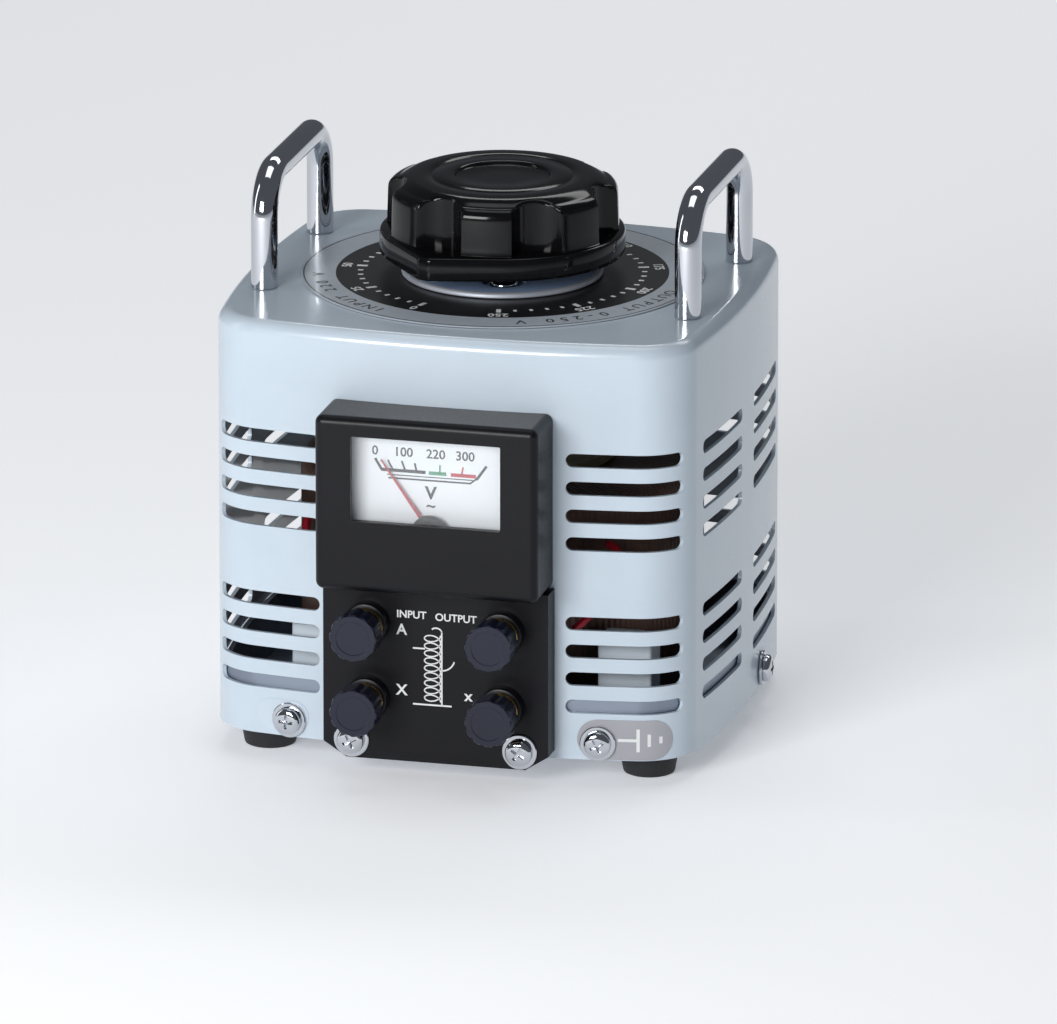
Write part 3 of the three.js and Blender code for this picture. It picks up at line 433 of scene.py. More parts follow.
# ---- Base plate and feet ----
# The base is a folded steel tray, zinc plated, that the cover slips over.
# Four moulded rubber feet are screwed up to it, each with a recess for its screw's head.
zinc_plate = grained(
    "zinc_plated_steel", "#a9adb2", 0.36, 1, 2.4, 0.3, 0.46, 0.004, "#b4b8bc", "#9da1a8"
)
dull_zinc = grained(
    "hot_dipped_zinc", "#949dab", 0.5, 1, 5, 0.44, 0.58, 0.006, "#9ca5b3", "#868f9e"
)
tray_wall, tray_gap, tray_height = 1.5, 1.5, 18.5
sleeve_hole = 7.3
tray = plan_sheet(tray_gap, tray_height)
bpy.ops.mesh.delete(type="FACE")
bpy.ops.object.mode_set(mode="OBJECT")
tray = clean(place(tray, "base_plate_folded"))
modify(tray, "SOLIDIFY", thickness=tray_wall * MM, offset=-1, use_even_offset=True)
cut(tray, front_cutter(*post_opening))
cut(tray, drill(sleeve_hole, 10, (0, shaft_y, case_bottom)))
fit(smooth(tray, 35), dull_zinc, "frame", "zinc_plate", "base_plate")

# Moulded rubber: matt, with a fine moulded texture of about 0.5 mm.
rubber = grained("moulded_rubber", "#1b1c1f", 0.62, 0, 0.5, 0.52, 0.72, 0.02, "#1e1f22", "#17181a")


def turned(profile, sides):
    """A solid turned about Z from pairs of radius and height, in mm."""
    radius, height = profile[0]
    bpy.ops.mesh.primitive_circle_add(
        vertices=sides, radius=radius * MM, fill_type="NGON", location=(0, 0, height * MM)
    )
    piece = bpy.context.active_object
    bpy.ops.object.mode_set(mode="EDIT")
    bpy.ops.mesh.select_mode(type="FACE")
    bpy.ops.mesh.select_all(action="SELECT")
    for next_radius, next_height in profile[1:]:
        bpy.ops.mesh.extrude_region_move(
            TRANSFORM_OT_translate={"value": (0, 0, (next_height - height) * MM)}
        )
        ratio = next_radius / radius
        bpy.ops.transform.resize(value=(ratio, ratio, 1), center_override=(0, 0, 0))
        radius, height = next_radius, next_height
    bpy.ops.object.mode_set(mode="OBJECT")
    pick(piece)
    bpy.ops.object.transform_apply(location=True, rotation=True, scale=True)
    return clean(piece)


def middle_of(node):
    """The middle of a CAD node's box, in mm."""
    low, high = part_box(node)
    return (low + high) / 2 / MM


foot_profile = [
    (3.2, 4), (3.2, 0.3), (3.5, 0), (7.0, 0), (7.5, 0.25), (7.75, 0.8), (8.85, 7), (8.9, 7.6),
    (8.6, 8), (0.4, 8),
]
for side in ("left", "right"):
    for end in ("front", "rear"):
        node = f"foot_{end}_{side}"
        spot = middle_of(node)
        foot = place(turned(foot_profile, 48), f"{node}_moulded", (spot.x, spot.y, 0))
        fit(smooth(foot), rubber, "frame", "rubber", node)

# ---- Coil on its core ----
# Enamelled copper wire is wound in one layer, turn beside turn, round a ring of steel strip.
# The coil sits on an insulating ring and is clamped down through its middle by a plate and a nut.
copper_wire = grained(
    "varnished_copper_wire", "#6f4a38", 0.35, 0.6, 3, 0.28, 0.5, 0.01, "#7d5540", "#55504f"
)
core_steel = grained(
    "silicon_steel_strip", "#5c5e62", 0.45, 1, 0.6, 0.38, 0.55, 0.01, "#66686c", "#4e5054",
    (1, 1, 0.05),
)
board = grained(
    "pressed_insulating_board", "#9c8a63", 0.7, 0, 0.8, 0.6, 0.8, 0.02, "#a6946d", "#8c7a56",
    (1, 0.2, 1),
)
brass = grained(
    "turned_brass", "#c2a465", 0.25, 1, 0.4, 0.2, 0.36, 0.003, "#c9ac6e", "#b39556", (1, 0.08, 1)
)
dress(core_steel, "core")
dress(board, "lower_insulating_ring", "clamp_plate")
dress(brass, "bearing_sleeve")
dress(zinc_plate, "clamp_nut", "shaft")

wound_low, wound_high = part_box("winding")
coil_bottom, coil_top = wound_low.z / MM, wound_high.z / MM
coil_outer, coil_inner, wire_build = 60, 26, 4
turns, steps_per_turn, groove = 176, 3, 0.35
gap_middle, coil_gap = -93.25, 26
sweep = 360 - coil_gap
section = [
    (coil_outer, coil_bottom + 3), (coil_outer, coil_top - 3), (coil_outer - 1, coil_top - 1),
    (coil_outer - 3, coil_top), (coil_inner + 3, coil_top), (coil_inner + 1, coil_top - 1),
    (coil_inner, coil_top - 3), (coil_inner, coil_bottom + 3), (coil_inner + 1, coil_bottom + 1),
    (coil_inner + 3, coil_bottom), (coil_outer - 3, coil_bottom), (coil_outer - 1, coil_bottom + 1),
]
wire_outer, wire_inner = coil_outer - wire_build, coil_inner + wire_build
inner = [
    (wire_outer, coil_bottom + wire_build), (wire_outer, coil_top - wire_build),
    (wire_inner, coil_top - wire_build), (wire_inner, coil_bottom + wire_build),
]
loops = []
for ring in (section, inner):
    bpy.ops.mesh.primitive_circle_add(vertices=len(ring), radius=1)
    loop = bpy.context.active_object
    for vertex, (x, z) in zip(loop.data.vertices, ring):
        vertex.co = Vector((x, 0, z)) * MM
    loops.append(loop)
winding = join(loops, "winding_turns")
bpy.ops.object.mode_set(mode="EDIT")
bpy.ops.mesh.select_all(action="SELECT")
bpy.ops.mesh.fill()
bpy.ops.mesh.spin(
    steps=turns * steps_per_turn, angle=math.radians(-sweep), center=(0, 0, 0), axis=(0, 0, 1)
)
bpy.ops.mesh.select_all(action="SELECT")
bpy.ops.mesh.normals_make_consistent(inside=False)
bpy.ops.object.mode_set(mode="OBJECT")

# One ring of points in three is drawn in, as the groove between two turns of wire.
near_wall, near_end = 3.5, 1.5
for vertex in winding.data.vertices:
    turn = math.atan2(vertex.co.y, vertex.co.x) % (2 * math.pi)
    step = round(turn / math.radians(sweep) * turns * steps_per_turn)
    if step % steps_per_turn == 0:
        radius = math.hypot(vertex.co.x, vertex.co.y) / MM
        drawn_in = 0
        if radius > coil_outer - near_wall:
            drawn_in = groove
        elif radius < coil_inner + near_wall:
            drawn_in = -groove
        vertex.co.x *= 1 - drawn_in / radius
        vertex.co.y *= 1 - drawn_in / radius
        if vertex.co.z > (coil_top - near_end) * MM:
            vertex.co.z -= groove * MM
        if vertex.co.z < (coil_bottom + near_end) * MM:
            vertex.co.z += groove * MM
place(winding, "winding_turns", (0, shaft_y, 0), (0, 0, gap_middle + coil_gap / 2))
fit(smooth(winding, 60), copper_wire, "frame", "copper_wire", "winding")

# ---- Leads and their connector ----
# PVC-covered leads run from the coil's ends to the terminals, past two moulded nylon blocks.
# The blocks stand on the base, and each of their clamps has a brass screw.
red_wire = grained(
    "pvc_covered_lead", "#a8162a", 0.38, 0, 1.2, 0.32, 0.46, 0.01, "#b21a2e", "#971226"
)
dress(red_wire, "input_lead", "output_lead")
nylon = grained("moulded_nylon", "#c9d3dc", 0.42, 0, 1, 0.36, 0.5, 0.01, "#d0dae2", "#bfcad4")


def block(width, depth, height, rounding, segments=3):
    """A block with rounded edges, in mm, standing on the middle of its base."""
    bpy.ops.mesh.primitive_cube_add(size=1)
    piece = bpy.context.active_object
    piece.scale = (width * MM, depth * MM, height * MM)
    place(piece, "block", (0, 0, height / 2))
    bpy.ops.object.mode_set(mode="EDIT")
    bpy.ops.mesh.select_all(action="SELECT")
    bpy.ops.mesh.bevel(offset=rounding * MM, segments=segments, affect="EDGES")
    bpy.ops.object.mode_set(mode="OBJECT")
    return piece


tray_floor = case_bottom + tray_wall
block_depth, block_height, block_rounding, standing_gap = 11.5, 31.5, 0.9, 0.05
hole_radius, hole_depth, clamp_height = 2.2, 8, 27.7
clamp_places = {"inner": -4.2, "outer": 4.2}
for side, x, y, width in (("left", -40.6, -56.5, 15.4), ("right", 51.3, -49, 16.4)):
    body = block(width, block_depth, block_height, block_rounding)
    holes = []
    for along in clamp_places.values():
        holes.append(drill(hole_radius, hole_depth, (along, 0, block_height), 24))
    cut(body, join(holes, "holes"))
    place(body, f"connector_block_{side}", (x, shaft_y + y, tray_floor + standing_gap))
    fit(smooth(body), nylon, "frame", "insulation")
    for end, along in clamp_places.items():
        clamp = turned([(0.3, 0), (1.9, 0), (1.9, 1.2), (1.6, 1.6), (0.3, 1.6)], 24)
        clamp = cut(clamp, place(block(5, 0.6, 1, 0.05), "slot", (0, 0, 1)))
        at = (x + along, shaft_y + y, tray_floor + clamp_height)
        place(clamp, f"connector_screw_{side}_{end}", at)
        fit(smooth(clamp), brass, "frame", "brass")

# ---- Handles ----
# Each handle is one 8 mm steel rod bent to a flat-topped loop and bright chrome plated.
# Its threaded ends pass through the cover and are held by nuts inside.
chrome = grained(
    "bright_chrome_plate", "#c9ccd2", 0.06, 1, 4, 0.03, 0.1, 0.002, "#ced1d6", "#c2c5cc"
)
rod_radius, handle_x, half_span, rise, bend, leg_gap = 4, 64.6, 31.5, 33.5, 12.5, 0.3
for side, x in (("left", -handle_x), ("right", handle_x)):
    bpy.ops.mesh.primitive_circle_add(vertices=32, radius=rod_radius * MM, fill_type="NOTHING")
    handle = bpy.context.active_object
    place(handle, "handle", (x, shaft_y - half_span, case_top + leg_gap))
    bpy.ops.object.mode_set(mode="EDIT")
    bpy.ops.mesh.select_mode(type="EDGE")
    bpy.ops.mesh.select_all(action="SELECT")
    bpy.ops.mesh.extrude_region_move(
        TRANSFORM_OT_translate={"value": (0, 0, (rise - bend - leg_gap) * MM)}
    )
    bend_z = (case_top + rise - bend) * MM
    for y in (shaft_y - half_span + bend, shaft_y + half_span - bend):
        bpy.ops.mesh.spin(
            steps=14, angle=math.radians(90), center=(x * MM, y * MM, bend_z), axis=(1, 0, 0)
        )
        if y < shaft_y:
            bpy.ops.mesh.extrude_region_move(
                TRANSFORM_OT_translate={"value": (0, 2 * (half_span - bend) * MM, 0)}
            )
    bpy.ops.mesh.extrude_region_move(
        TRANSFORM_OT_translate={"value": (0, 0, -(rise - bend - leg_gap) * MM)}
    )
    bpy.ops.mesh.select_all(action="SELECT")
    bpy.ops.mesh.select_non_manifold()
    bpy.ops.mesh.edge_face_add()
    bpy.ops.object.mode_set(mode="OBJECT")
    place(handle, f"handle_{side}_bent_rod")
    fit(smooth(clean(handle), 50), chrome, "frame", "chrome", f"handle_{side}")
dress(zinc_plate, *(f"handle_nut_{s}_{e}" for s in ("left", "right") for e in ("front", "rear")))

# ---- Dial plate ----
# A thin aluminium disc lies on the cover, enamelled grey with a printed black scale ring.
# The scale reads clockwise from 0 to 250, with white marks and numbers printed on the black.
dial_radius, dial_bore, dial_edge, scale_edge = 60, 22.5, 0.15, 49.5
line_radius, line_half, mottle_size = 59, 0.22, 3
shaft_place = Vector((0, shaft_y, 0)) * MM
dial_print, shader, point = start_material("printed_dial_enamel", "#b4bcc3", 0.3)
shader.inputs["Coat Weight"].default_value = 0.08
shader.inputs["Specular IOR Level"].default_value = 0.3
centred = add_node(
    dial_print, "ShaderNodeVectorMath", {1: shaft_place}, {0: point}, operation="SUBTRACT"
)
flat = add_node(
    dial_print, "ShaderNodeVectorMath", {1: (1, 1, 0)}, {0: centred.outputs[0]},
    operation="MULTIPLY",
)
radius = add_node(
    dial_print, "ShaderNodeVectorMath", None, {0: flat.outputs[0]}, operation="LENGTH"
).outputs["Value"]
inside = add_node(
    dial_print, "ShaderNodeMath", {1: scale_edge * MM}, {0: radius}, operation="LESS_THAN"
)
circle = add_node(
    dial_print, "ShaderNodeMath", {1: line_radius * MM, 2: line_half * MM}, {0: radius},
    operation="COMPARE",
)
inked = add_node(
    dial_print, "ShaderNodeMath", None, {0: inside.outputs[0], 1: circle.outputs[0]},
    operation="MAXIMUM",
)
mottle = add_node(
    dial_print, "ShaderNodeTexNoise", {"Scale": 1 / (mottle_size * MM), "Detail": 3},
    {"Vector": point},
)
ground = add_node(
    dial_print, "ShaderNodeMix", {6: srgb("#b9c1c9"), 7: srgb("#aab2bb")},
    {0: mottle.outputs["Fac"]}, data_type="RGBA",
)
printed = add_node(
    dial_print, "ShaderNodeMix", {7: srgb("#141416")},
    {0: inked.outputs[0], 6: ground.outputs[2]}, data_type="RGBA",
)
dial_print.node_tree.links.new(printed.outputs[2], shader.inputs["Base Color"])
dial_low, dial_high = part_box("dial_plate")
dial_bottom, dial_top = dial_low.z / MM, dial_high.z / MM
dial = turned(
    [(dial_bore - 0.5, dial_bottom), (dial_radius - dial_edge, dial_bottom),
     (dial_radius, dial_bottom + dial_edge), (dial_radius, dial_top - dial_edge),
     (dial_radius - dial_edge, dial_top), (dial_bore - 0.5, dial_top)], 192,
)
dial = cut(dial, drill(dial_bore, 6, (0, 0, dial_top), 96))
dial = place(dial, "dial_plate_printed", (0, shaft_y, 0))
fit(smooth(dial), dial_print, "frame", "dial_print", "dial_plate")

# Screen ink: a flat coat that stands a few hundredths of a millimetre off what it is printed on.
white_ink = grained(
    "white_screen_ink", "#e4e6e6", 0.5, 0, 0.3, 0.45, 0.6, 0.002, "#e8eaea", "#d9dbdb"
)
black_ink = grained(
    "black_screen_ink", "#1a1b20", 0.45, 0, 0.3, 0.4, 0.55, 0.002, "#1c1d22", "#131419"
)
INK = 0.03


def words(text, size, at, turn=(0, 0, 0), bold=0):
    """Printed letters as a thin solid, in mm, centred on a point and turned in degrees."""
    bpy.ops.object.text_add()
    letters = bpy.context.active_object
    letters.data.body = text
    letters.data.size = size * MM
    letters.data.align_x = "CENTER"
    letters.data.align_y = "CENTER"
    letters.data.extrude = INK / 2 * MM
    letters.data.offset = bold * MM
    letters.data.resolution_u = 4
    pick(letters)
    bpy.ops.object.convert(target="MESH")
    return clean(place(bpy.context.active_object, "letters", at, turn))


def bar(width, height, at, turn=(0, 0, 0)):
    """A printed bar, in mm, centred on a point and turned in degrees."""
    bpy.ops.mesh.primitive_cube_add(size=1)
    mark = bpy.context.active_object
    mark.scale = (width * MM, height * MM, INK * MM)
    bpy.ops.object.transform_apply(location=False, rotation=False, scale=True)
    return place(mark, "bar", at, turn)


def round_shaft(radius, angle):
    """The point on the dial at a radius in mm and an angle in degrees."""
    a = math.radians(angle)
    return (radius * math.cos(a), shaft_y + radius * math.sin(a), dial_top + INK / 2 + 0.01)


marks = []
zero_angle, scale_sweep, steps, steps_per_number = -109.5, 327.5, 50, 5
mark_radius, number_radius, number_size = 42.2, 46.6, 4.2
for k in range(steps + 1):
    angle = zero_angle - scale_sweep * k / steps
    numbered = k % steps_per_number == 0
    length, width = (3.2, 1.4) if numbered else (1.6, 1)
    marks.append(bar(length, width, round_shaft(mark_radius, angle), (0, 0, angle)))
    if numbered:
        at = round_shaft(number_radius, angle)
        marks.append(words(str(k * 5), number_size, at, (0, 0, angle - 90), 0.06))
fit(join(marks, "dial_scale_print"), white_ink, "frame", "dial_print")

legend = []
legend_radius, legend_size, letter_step = 54.3, 5.2, 4.6
for text, start in (("OUTPUT 0-250 V", -10), ("INPUT 220 V", -117)):
    for k, letter in enumerate(text):
        if letter != " ":
            angle = start - letter_step * k
            at = round_shaft(legend_radius, angle)
            legend.append(words(letter, legend_size, at, (0, 0, angle - 90), 0.04))
fit(join(legend, "dial_legend_print"), black_ink, "frame", "dial_print")

# ---- Hub plate ----
# A blue-passivated steel disc with a bare turned rim clamps the dial round the shaft.
# Two large holes in it show the chrome screws that hold the bearing bracket under the cover.
blue_steel = grained(
    "blue_passivated_steel", "#8ea6cb", 0.45, 0, 1.6, 0.38, 0.54, 0.004, "#97afd4", "#8098bd",
    (0.12, 1, 1),
)
bright_rim = grained(
    "turned_steel_rim", "#c2c7d0", 0.5, 0.5, 0.5, 0.44, 0.58, 0.002, "#c9ced6", "#b2b8c3",
    (1, 1, 0.1),
)
hub_low, hub_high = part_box("hub_plate")
hub_bottom, hub_top = hub_low.z / MM, hub_high.z / MM
hub_bore, screw_hole, rim_start = 9.85, 6.6, 28.85
hub_screws = ("hub_screw_1", "hub_screw_2")
hub = turned(
    [(9.8, hub_bottom), (29.7, hub_bottom), (30, hub_bottom + 0.3), (30, hub_top - 0.9),
     (29.8, hub_top - 0.45), (29.4, hub_top - 0.12), (28.8, hub_top), (9.8, hub_top)], 160,
)
holes = [drill(hub_bore, 8, (0, 0, hub_top), 72)]
for node in hub_screws:
    spot = middle_of(node)
    holes.append(drill(screw_hole, 8, (spot.x, spot.y - shaft_y, hub_top), 56))
hub = cut(hub, join(holes, "holes"))
hub = place(hub, "hub_plate_blued", (0, shaft_y, 0))
fit(smooth(hub), blue_steel, "frame", "blue_steel", "hub_plate")
hub.data.materials.append(bright_rim)
for face in hub.data.polygons:
    reach = math.hypot(face.center.x, face.center.y - shaft_y * MM) / MM
    if reach > rim_start:
        face.material_index = 1

# ---- Knob, shaft and grub screw ----
# The knob is one polished black phenolic moulding: a fluted grip on a round skirt with a pointer.
# It sits on the steel shaft and a grub screw in the skirt, behind the pointer, holds it.
bakelite = grained(
    "polished_phenolic", "#0c0c0d", 0.12, 0, 2.2, 0.08, 0.17, 0.002, "#0e0e10", "#09090a",
    Specular_IOR_Level=0.24,
)
knob_low, knob_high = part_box("knob")
knob_top = knob_high.z / MM
shaft_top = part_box("shaft")[1].z / MM
knob_bottom = knob_low.z / MM
skirt_low = case_top + 7.6
skirt_top = skirt_low + 7
flutes, flute_radius, flute_circle, softness = 7, 8.4, 37.2, 0.5
skirt_radius, pointer_radius, pointer_half = 36.5, 42, 1.8
knob_profile = [
    (4.06, shaft_top + 0.3), (4.06, knob_bottom), (8.6, knob_bottom), (9, knob_bottom + 0.4),
    (9, skirt_low), (35.9, skirt_low), (36.35, skirt_low + 0.15), (skirt_radius, skirt_low + 0.6),
    (skirt_radius, skirt_top - 0.9), (36.25, skirt_top - 0.3), (35.7, skirt_top),
    (35.05, skirt_top + 0.05), (34.75, skirt_top + 0.25), (34.65, skirt_top + 0.8),
    (34.6, skirt_top + 3), (34.5, skirt_top + 6), (34.35, knob_top - 5.6),
]
for k in range(7):
    a = math.radians(90 * k / 6)
    knob_profile.append((34.3 - 3 * (1 - math.cos(a)), knob_top - 5 + 3 * math.sin(a)))
for k in range(1, 11):
    knob_profile.append((31.3 - 5 * k / 10, knob_top - 2 + 1.9 * math.sin(math.radians(9 * k))))
knob_profile += [
    (25.6, knob_top), (24, knob_top), (21.5, knob_top), (21.2, knob_top - 0.25),
    (20.8, knob_top - 0.25), (20.5, knob_top), (15, knob_top), (14.5, knob_top - 0.1),
    (14.2, knob_top - 0.4), (14, knob_top - 0.85), (13.6, knob_top - 1), (6, knob_top - 1),
    (0.4, knob_top - 1),
]
knob = turned(knob_profile, 360)
pointer_angle = math.radians(zero_angle)
tangent = math.atan2(pointer_half, pointer_radius)
tangent += math.acos(skirt_radius / math.hypot(pointer_radius, pointer_half))
for vertex in knob.data.vertices:
    angle = math.atan2(vertex.co.y, vertex.co.x)
    radius = math.hypot(vertex.co.x, vertex.co.y) / MM
    height = vertex.co.z / MM
    if radius > 35.5 and height < skirt_top + 0.02:
        turn = abs((angle - pointer_angle + math.pi) % (2 * math.pi) - math.pi)
        reach = skirt_radius / math.cos(max(0, tangent - turn))
        if turn < math.atan2(pointer_half, pointer_radius):
            reach = pointer_radius / math.cos(turn)
        wanted = radius + reach - skirt_radius
    elif radius > 20 and height > skirt_top:
        pitch = 2 * math.pi / flutes
        turn = (angle - pointer_angle + pitch / 2) % pitch - pitch / 2
        aside = flute_circle * abs(math.sin(turn))
        if aside < flute_radius:
            reach = flute_circle * math.cos(turn) - math.sqrt(flute_radius**2 - aside**2)
        else:
            reach = flute_circle + 3 * (aside - flute_radius)
        wanted = -softness * math.log(math.exp(-radius / softness) + math.exp(-reach / softness))
    else:
        continue
    vertex.co.x *= wanted / radius
    vertex.co.y *= wanted / radius
grub_radius, grub_length, grub_reach = 2.2, 34, -24
grub_at = (
    grub_reach * math.cos(pointer_angle), grub_reach * math.sin(pointer_angle),
    middle_of("grub_screw").z,
)
cut(knob, drill(grub_radius, grub_length, grub_at, 32, (0, 90, zero_angle + 180)))
place(knob, "knob_moulded", (0, shaft_y, 0))
fit(smooth(knob, 40), bakelite, "rotor", "black_bakelite", "knob")
dress(zinc_plate, "grub_screw")

# ---- Brush gear ----
# A cast arm on the shaft carries a brass holder, where a coil spring presses a carbon block
# down on the winding's bared upper face. It turns with the knob inside the cover.
aluminium = grained(
    "cast_aluminium", "#a4a7ab", 0.42, 1, 0.7, 0.36, 0.55, 0.02, "#adb0b4", "#94979b"
)
carbon = grained("pressed_carbon", "#222224", 0.5, 0, 0.4, 0.42, 0.6, 0.01, "#262628", "#1b1b1d")
spring_wire = grained(
    "bronze_spring_wire", "#b08a50", 0.28, 1, 0.6, 0.22, 0.36, 0.002, "#b99258", "#9f7b45"
)
dress(aluminium, "brush_arm")
dress(brass, "brush_holder")
dress(carbon, "carbon_brush")


def from_cad(node, name):
    """A copy of a CAD node with its triangles merged, to be finished here."""
    piece = copied(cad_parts[node])
    piece.parent = None
    for key in list(piece.keys()):
        del piece[key]
    return clean(place(piece, name))


coil_spring = from_cad("brush_spring", "brush_spring_wound")
fit(smooth(coil_spring, 60), spring_wire, "rotor", "brass", "brush_spring")
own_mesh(coil_spring)

# ---- Meter ----
# A deep phenolic box on the cover's front holds a moving-iron volt meter behind a clear pane.
# Its card is printed in black, green and red, and a red lacquered needle swings over it.
box_low, box_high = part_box("meter_box")
front_y = box_low.y / MM
box_width = (box_high.x - box_low.x) / MM
box_bottom, box_top = box_low.z / MM, box_high.z / MM
meter_wall, box_depth = 2.2, 34
window_width, window_bottom, window_top = 45.3, 82.2, 108
UPRIGHT = (90, 0, 0)


def level(piece):
    """Keeps flat faces evenly lit up to their rounded edges."""
    return modify(piece, "WEIGHTED_NORMAL", keep_sharp=True, weight=100)


box_height = box_top - box_bottom
meter_box = block(box_width, box_depth, box_height, 2.4, 6)
place(meter_box, "meter_box_moulded", (0, front_y + box_depth / 2, box_bottom))
hollow = block(box_width - 2 * meter_wall, box_depth, box_height - 2 * meter_wall, 1, 2)
place(hollow, "hollow", (0, front_y + meter_wall + box_depth / 2, box_bottom + meter_wall))
opening = block(window_width, 8, window_top - window_bottom, 0.5, 3)
place(opening, "opening", (0, front_y + 2, window_bottom))
cut(meter_box, hollow)
cut(meter_box, opening)
cut(meter_box, copied(case_form))
modify(
    meter_box, "BEVEL", width=0.25 * MM, segments=2, limit_method="ANGLE",
    angle_limit=math.radians(50),
)
# Satin thermoset: blue-black, with a fine moulded texture under 1 mm and a weak shine.
moulding = grained(
    "black_moulded_thermoset", "#101015", 0.34, 0, 0.9, 0.28, 0.42, 0.008, "#131319", "#0c0c10",
    Specular_IOR_Level=0.22,
)
fit(level(smooth(meter_box, 30)), moulding, "frame", "black_bakelite", "meter_box")

# Clear acrylic: polished, and thin enough that the card behind it keeps its colour. It is drawn a
# tenth opaque in near-white, a painted whitish sheen that also lightens the card behind it.
acrylic, shader, point = start_material("clear_acrylic", "#f4f8fb", 0.02)
shader.inputs["Alpha"].default_value = 0.1
shader.inputs["IOR"].default_value = 1.49
haze = add_node(
    acrylic, "ShaderNodeTexNoise", {"Scale": 1 / (6 * MM), "Detail": 2}, {"Vector": point}
)
relief = add_node(
    acrylic, "ShaderNodeBump", {"Strength": 0.4, "Distance": 0.004 * MM},
    {"Height": haze.outputs["Fac"]},
)
acrylic.node_tree.links.new(relief.outputs[0], shader.inputs["Normal"])
dress(acrylic, "meter_window")
card = grained("coated_white_card", "#f2f7fa", 0.5, 0, 0.4, 0.42, 0.58, 0.003, "#f6fafd", "#edf3f8")
dress(card, "scale_card")
lacquer = grained(
    "red_lacquered_aluminium", "#b3182c", 0.3, 0, 1, 0.24, 0.36, 0.002, "#ba1b30", "#a31426"
)
dress(lacquer, "needle")
dress(moulding, "meter_movement")

red_ink = grained("red_screen_ink", "#c22333", 0.45, 0, 0.3, 0.4, 0.55, 0.002, "#c8263a", "#b51e2e")
green_ink = grained(
    "green_screen_ink", "#3f9a72", 0.45, 0, 0.3, 0.4, 0.55, 0.002, "#44a078", "#388c66"
)
card_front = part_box("scale_card")[0].y / MM
card_y = card_front - INK / 2 - 0.02


def line(start, end, width, y):
    """A printed line between two points of an upright face, in mm."""
    (x0, z0), (x1, z1) = start, end
    angle = math.degrees(math.atan2(z1 - z0, x1 - x0))
    at = ((x0 + x1) / 2, y, (z0 + z1) / 2)
    return bar(math.hypot(x1 - x0, z1 - z0), width, at, (90, -angle, 0))


black_print = [
    line((-17.2, 99.7), (-15.2, 96.4), 0.8, card_y), line((-15.4, 96.4), (-1.9, 96.4), 1.0, card_y),
    line((16.6, 99.6), (13.5, 95.2), 0.8, card_y), line((-13.6, 95), (12.4, 95), 0.3, card_y),
    line((-13.2, 94), (11.6, 94), 0.5, card_y), line((11.4, 93.8), (13.6, 95.6), 0.5, card_y),
]
for x, top in ((-12.6, 99.4), (-8.6, 99.4), (-4.9, 99)):
    black_print.append(line((x * 1.06, top), (x * 0.94, 96.6), 0.6, card_y))
for text, x in (("0", -17.2), ("100", -8.6), ("220", 1.2), ("300", 10.1)):
    black_print.append(words(text, 3.9, (x, card_y, 102), UPRIGHT, 0.06))
black_print.append(words("V", 5.4, (-0.3, card_y, 90), UPRIGHT, 0.16))
black_print.append(words("~", 4.6, (-0.3, card_y, 86.3), UPRIGHT, 0.1))
fit(join(black_print, "card_print_black"), black_ink, "frame", "card")
green_print = [
    line((-0.9, 96.3), (4.4, 96.3), 1.1, card_y), line((2.4, 96.3), (2.5, 99), 0.5, card_y),
]
fit(join(green_print, "card_print_green"), green_ink, "frame", "card")
red_print = [
    line((5.8, 96.2), (13.4, 96.2), 1.1, card_y), line((9, 96.2), (9.5, 98.8), 0.5, card_y),
]
fit(join(red_print, "card_print_red"), red_ink, "frame", "card")
pivot_cover = turned([(0.4, 0), (5.2, 0), (5.5, 0.2), (5.5, 0.7), (5.3, 0.9), (0.4, 0.9)], 64)
place(pivot_cover, "pivot_cover", (0, card_front - 2.3, 78.6), UPRIGHT)
fit(smooth(pivot_cover), moulding, "frame", "black_moulding")

# ---- Terminal panel ----
# A moulded thermoset panel under the meter carries the four terminals, with its corners cut away.
# The names of the terminals and the coil's diagram are screen printed on it in white.
panel = from_cad("terminal_panel", "terminal_panel_moulded")
bpy.ops.object.mode_set(mode="EDIT")
bpy.ops.mesh.select_all(action="SELECT")
bpy.ops.mesh.dissolve_limited(angle_limit=math.radians(1))
bpy.ops.object.mode_set(mode="OBJECT")
modify(
    panel, "BEVEL", width=0.5 * MM, segments=3, limit_method="ANGLE", angle_limit=math.radians(40)
)
fit(level(smooth(panel)), moulding, "frame", "black_moulding", "terminal_panel")

panel_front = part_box("terminal_panel")[0].y / MM
panel_y = panel_front - INK / 2 - 0.02
panel_print = [
    words("INPUT", 3.2, (-7.3, panel_y, 51.2), UPRIGHT, 0.06),
    words("OUTPUT", 3.2, (6.2, panel_y, 51), UPRIGHT, 0.06),
    words("A", 4.6, (-10.3, panel_y, 46.4), UPRIGHT, 0.1),
    words("X", 4.6, (-10.3, panel_y, 27.8), UPRIGHT, 0.1),
    words("x", 4.6, (10, panel_y, 27.4), UPRIGHT, 0.1),
    line((-6.9, 23.9), (4.9, 23.9), 0.5, panel_y), line((-6.9, 41.1), (-3.2, 41.1), 0.5, panel_y),
    line((1.9, 24), (1.9, 46.6), 0.45, panel_y),
]


def curl(centre, radii, first, step, count, width, climb=0):
    """A printed line round a centre from an angle on, in steps, and climbing, in mm."""
    points = []
    for k in range(count):
        a = math.radians(first + step * k)
        x = centre[0] + radii[0] * math.cos(a)
        points.append((x, centre[1] + climb * k / (count - 1) + radii[1] * math.sin(a)))
    return [line(a, b, width, panel_y) for a, b in zip(points, points[1:])]


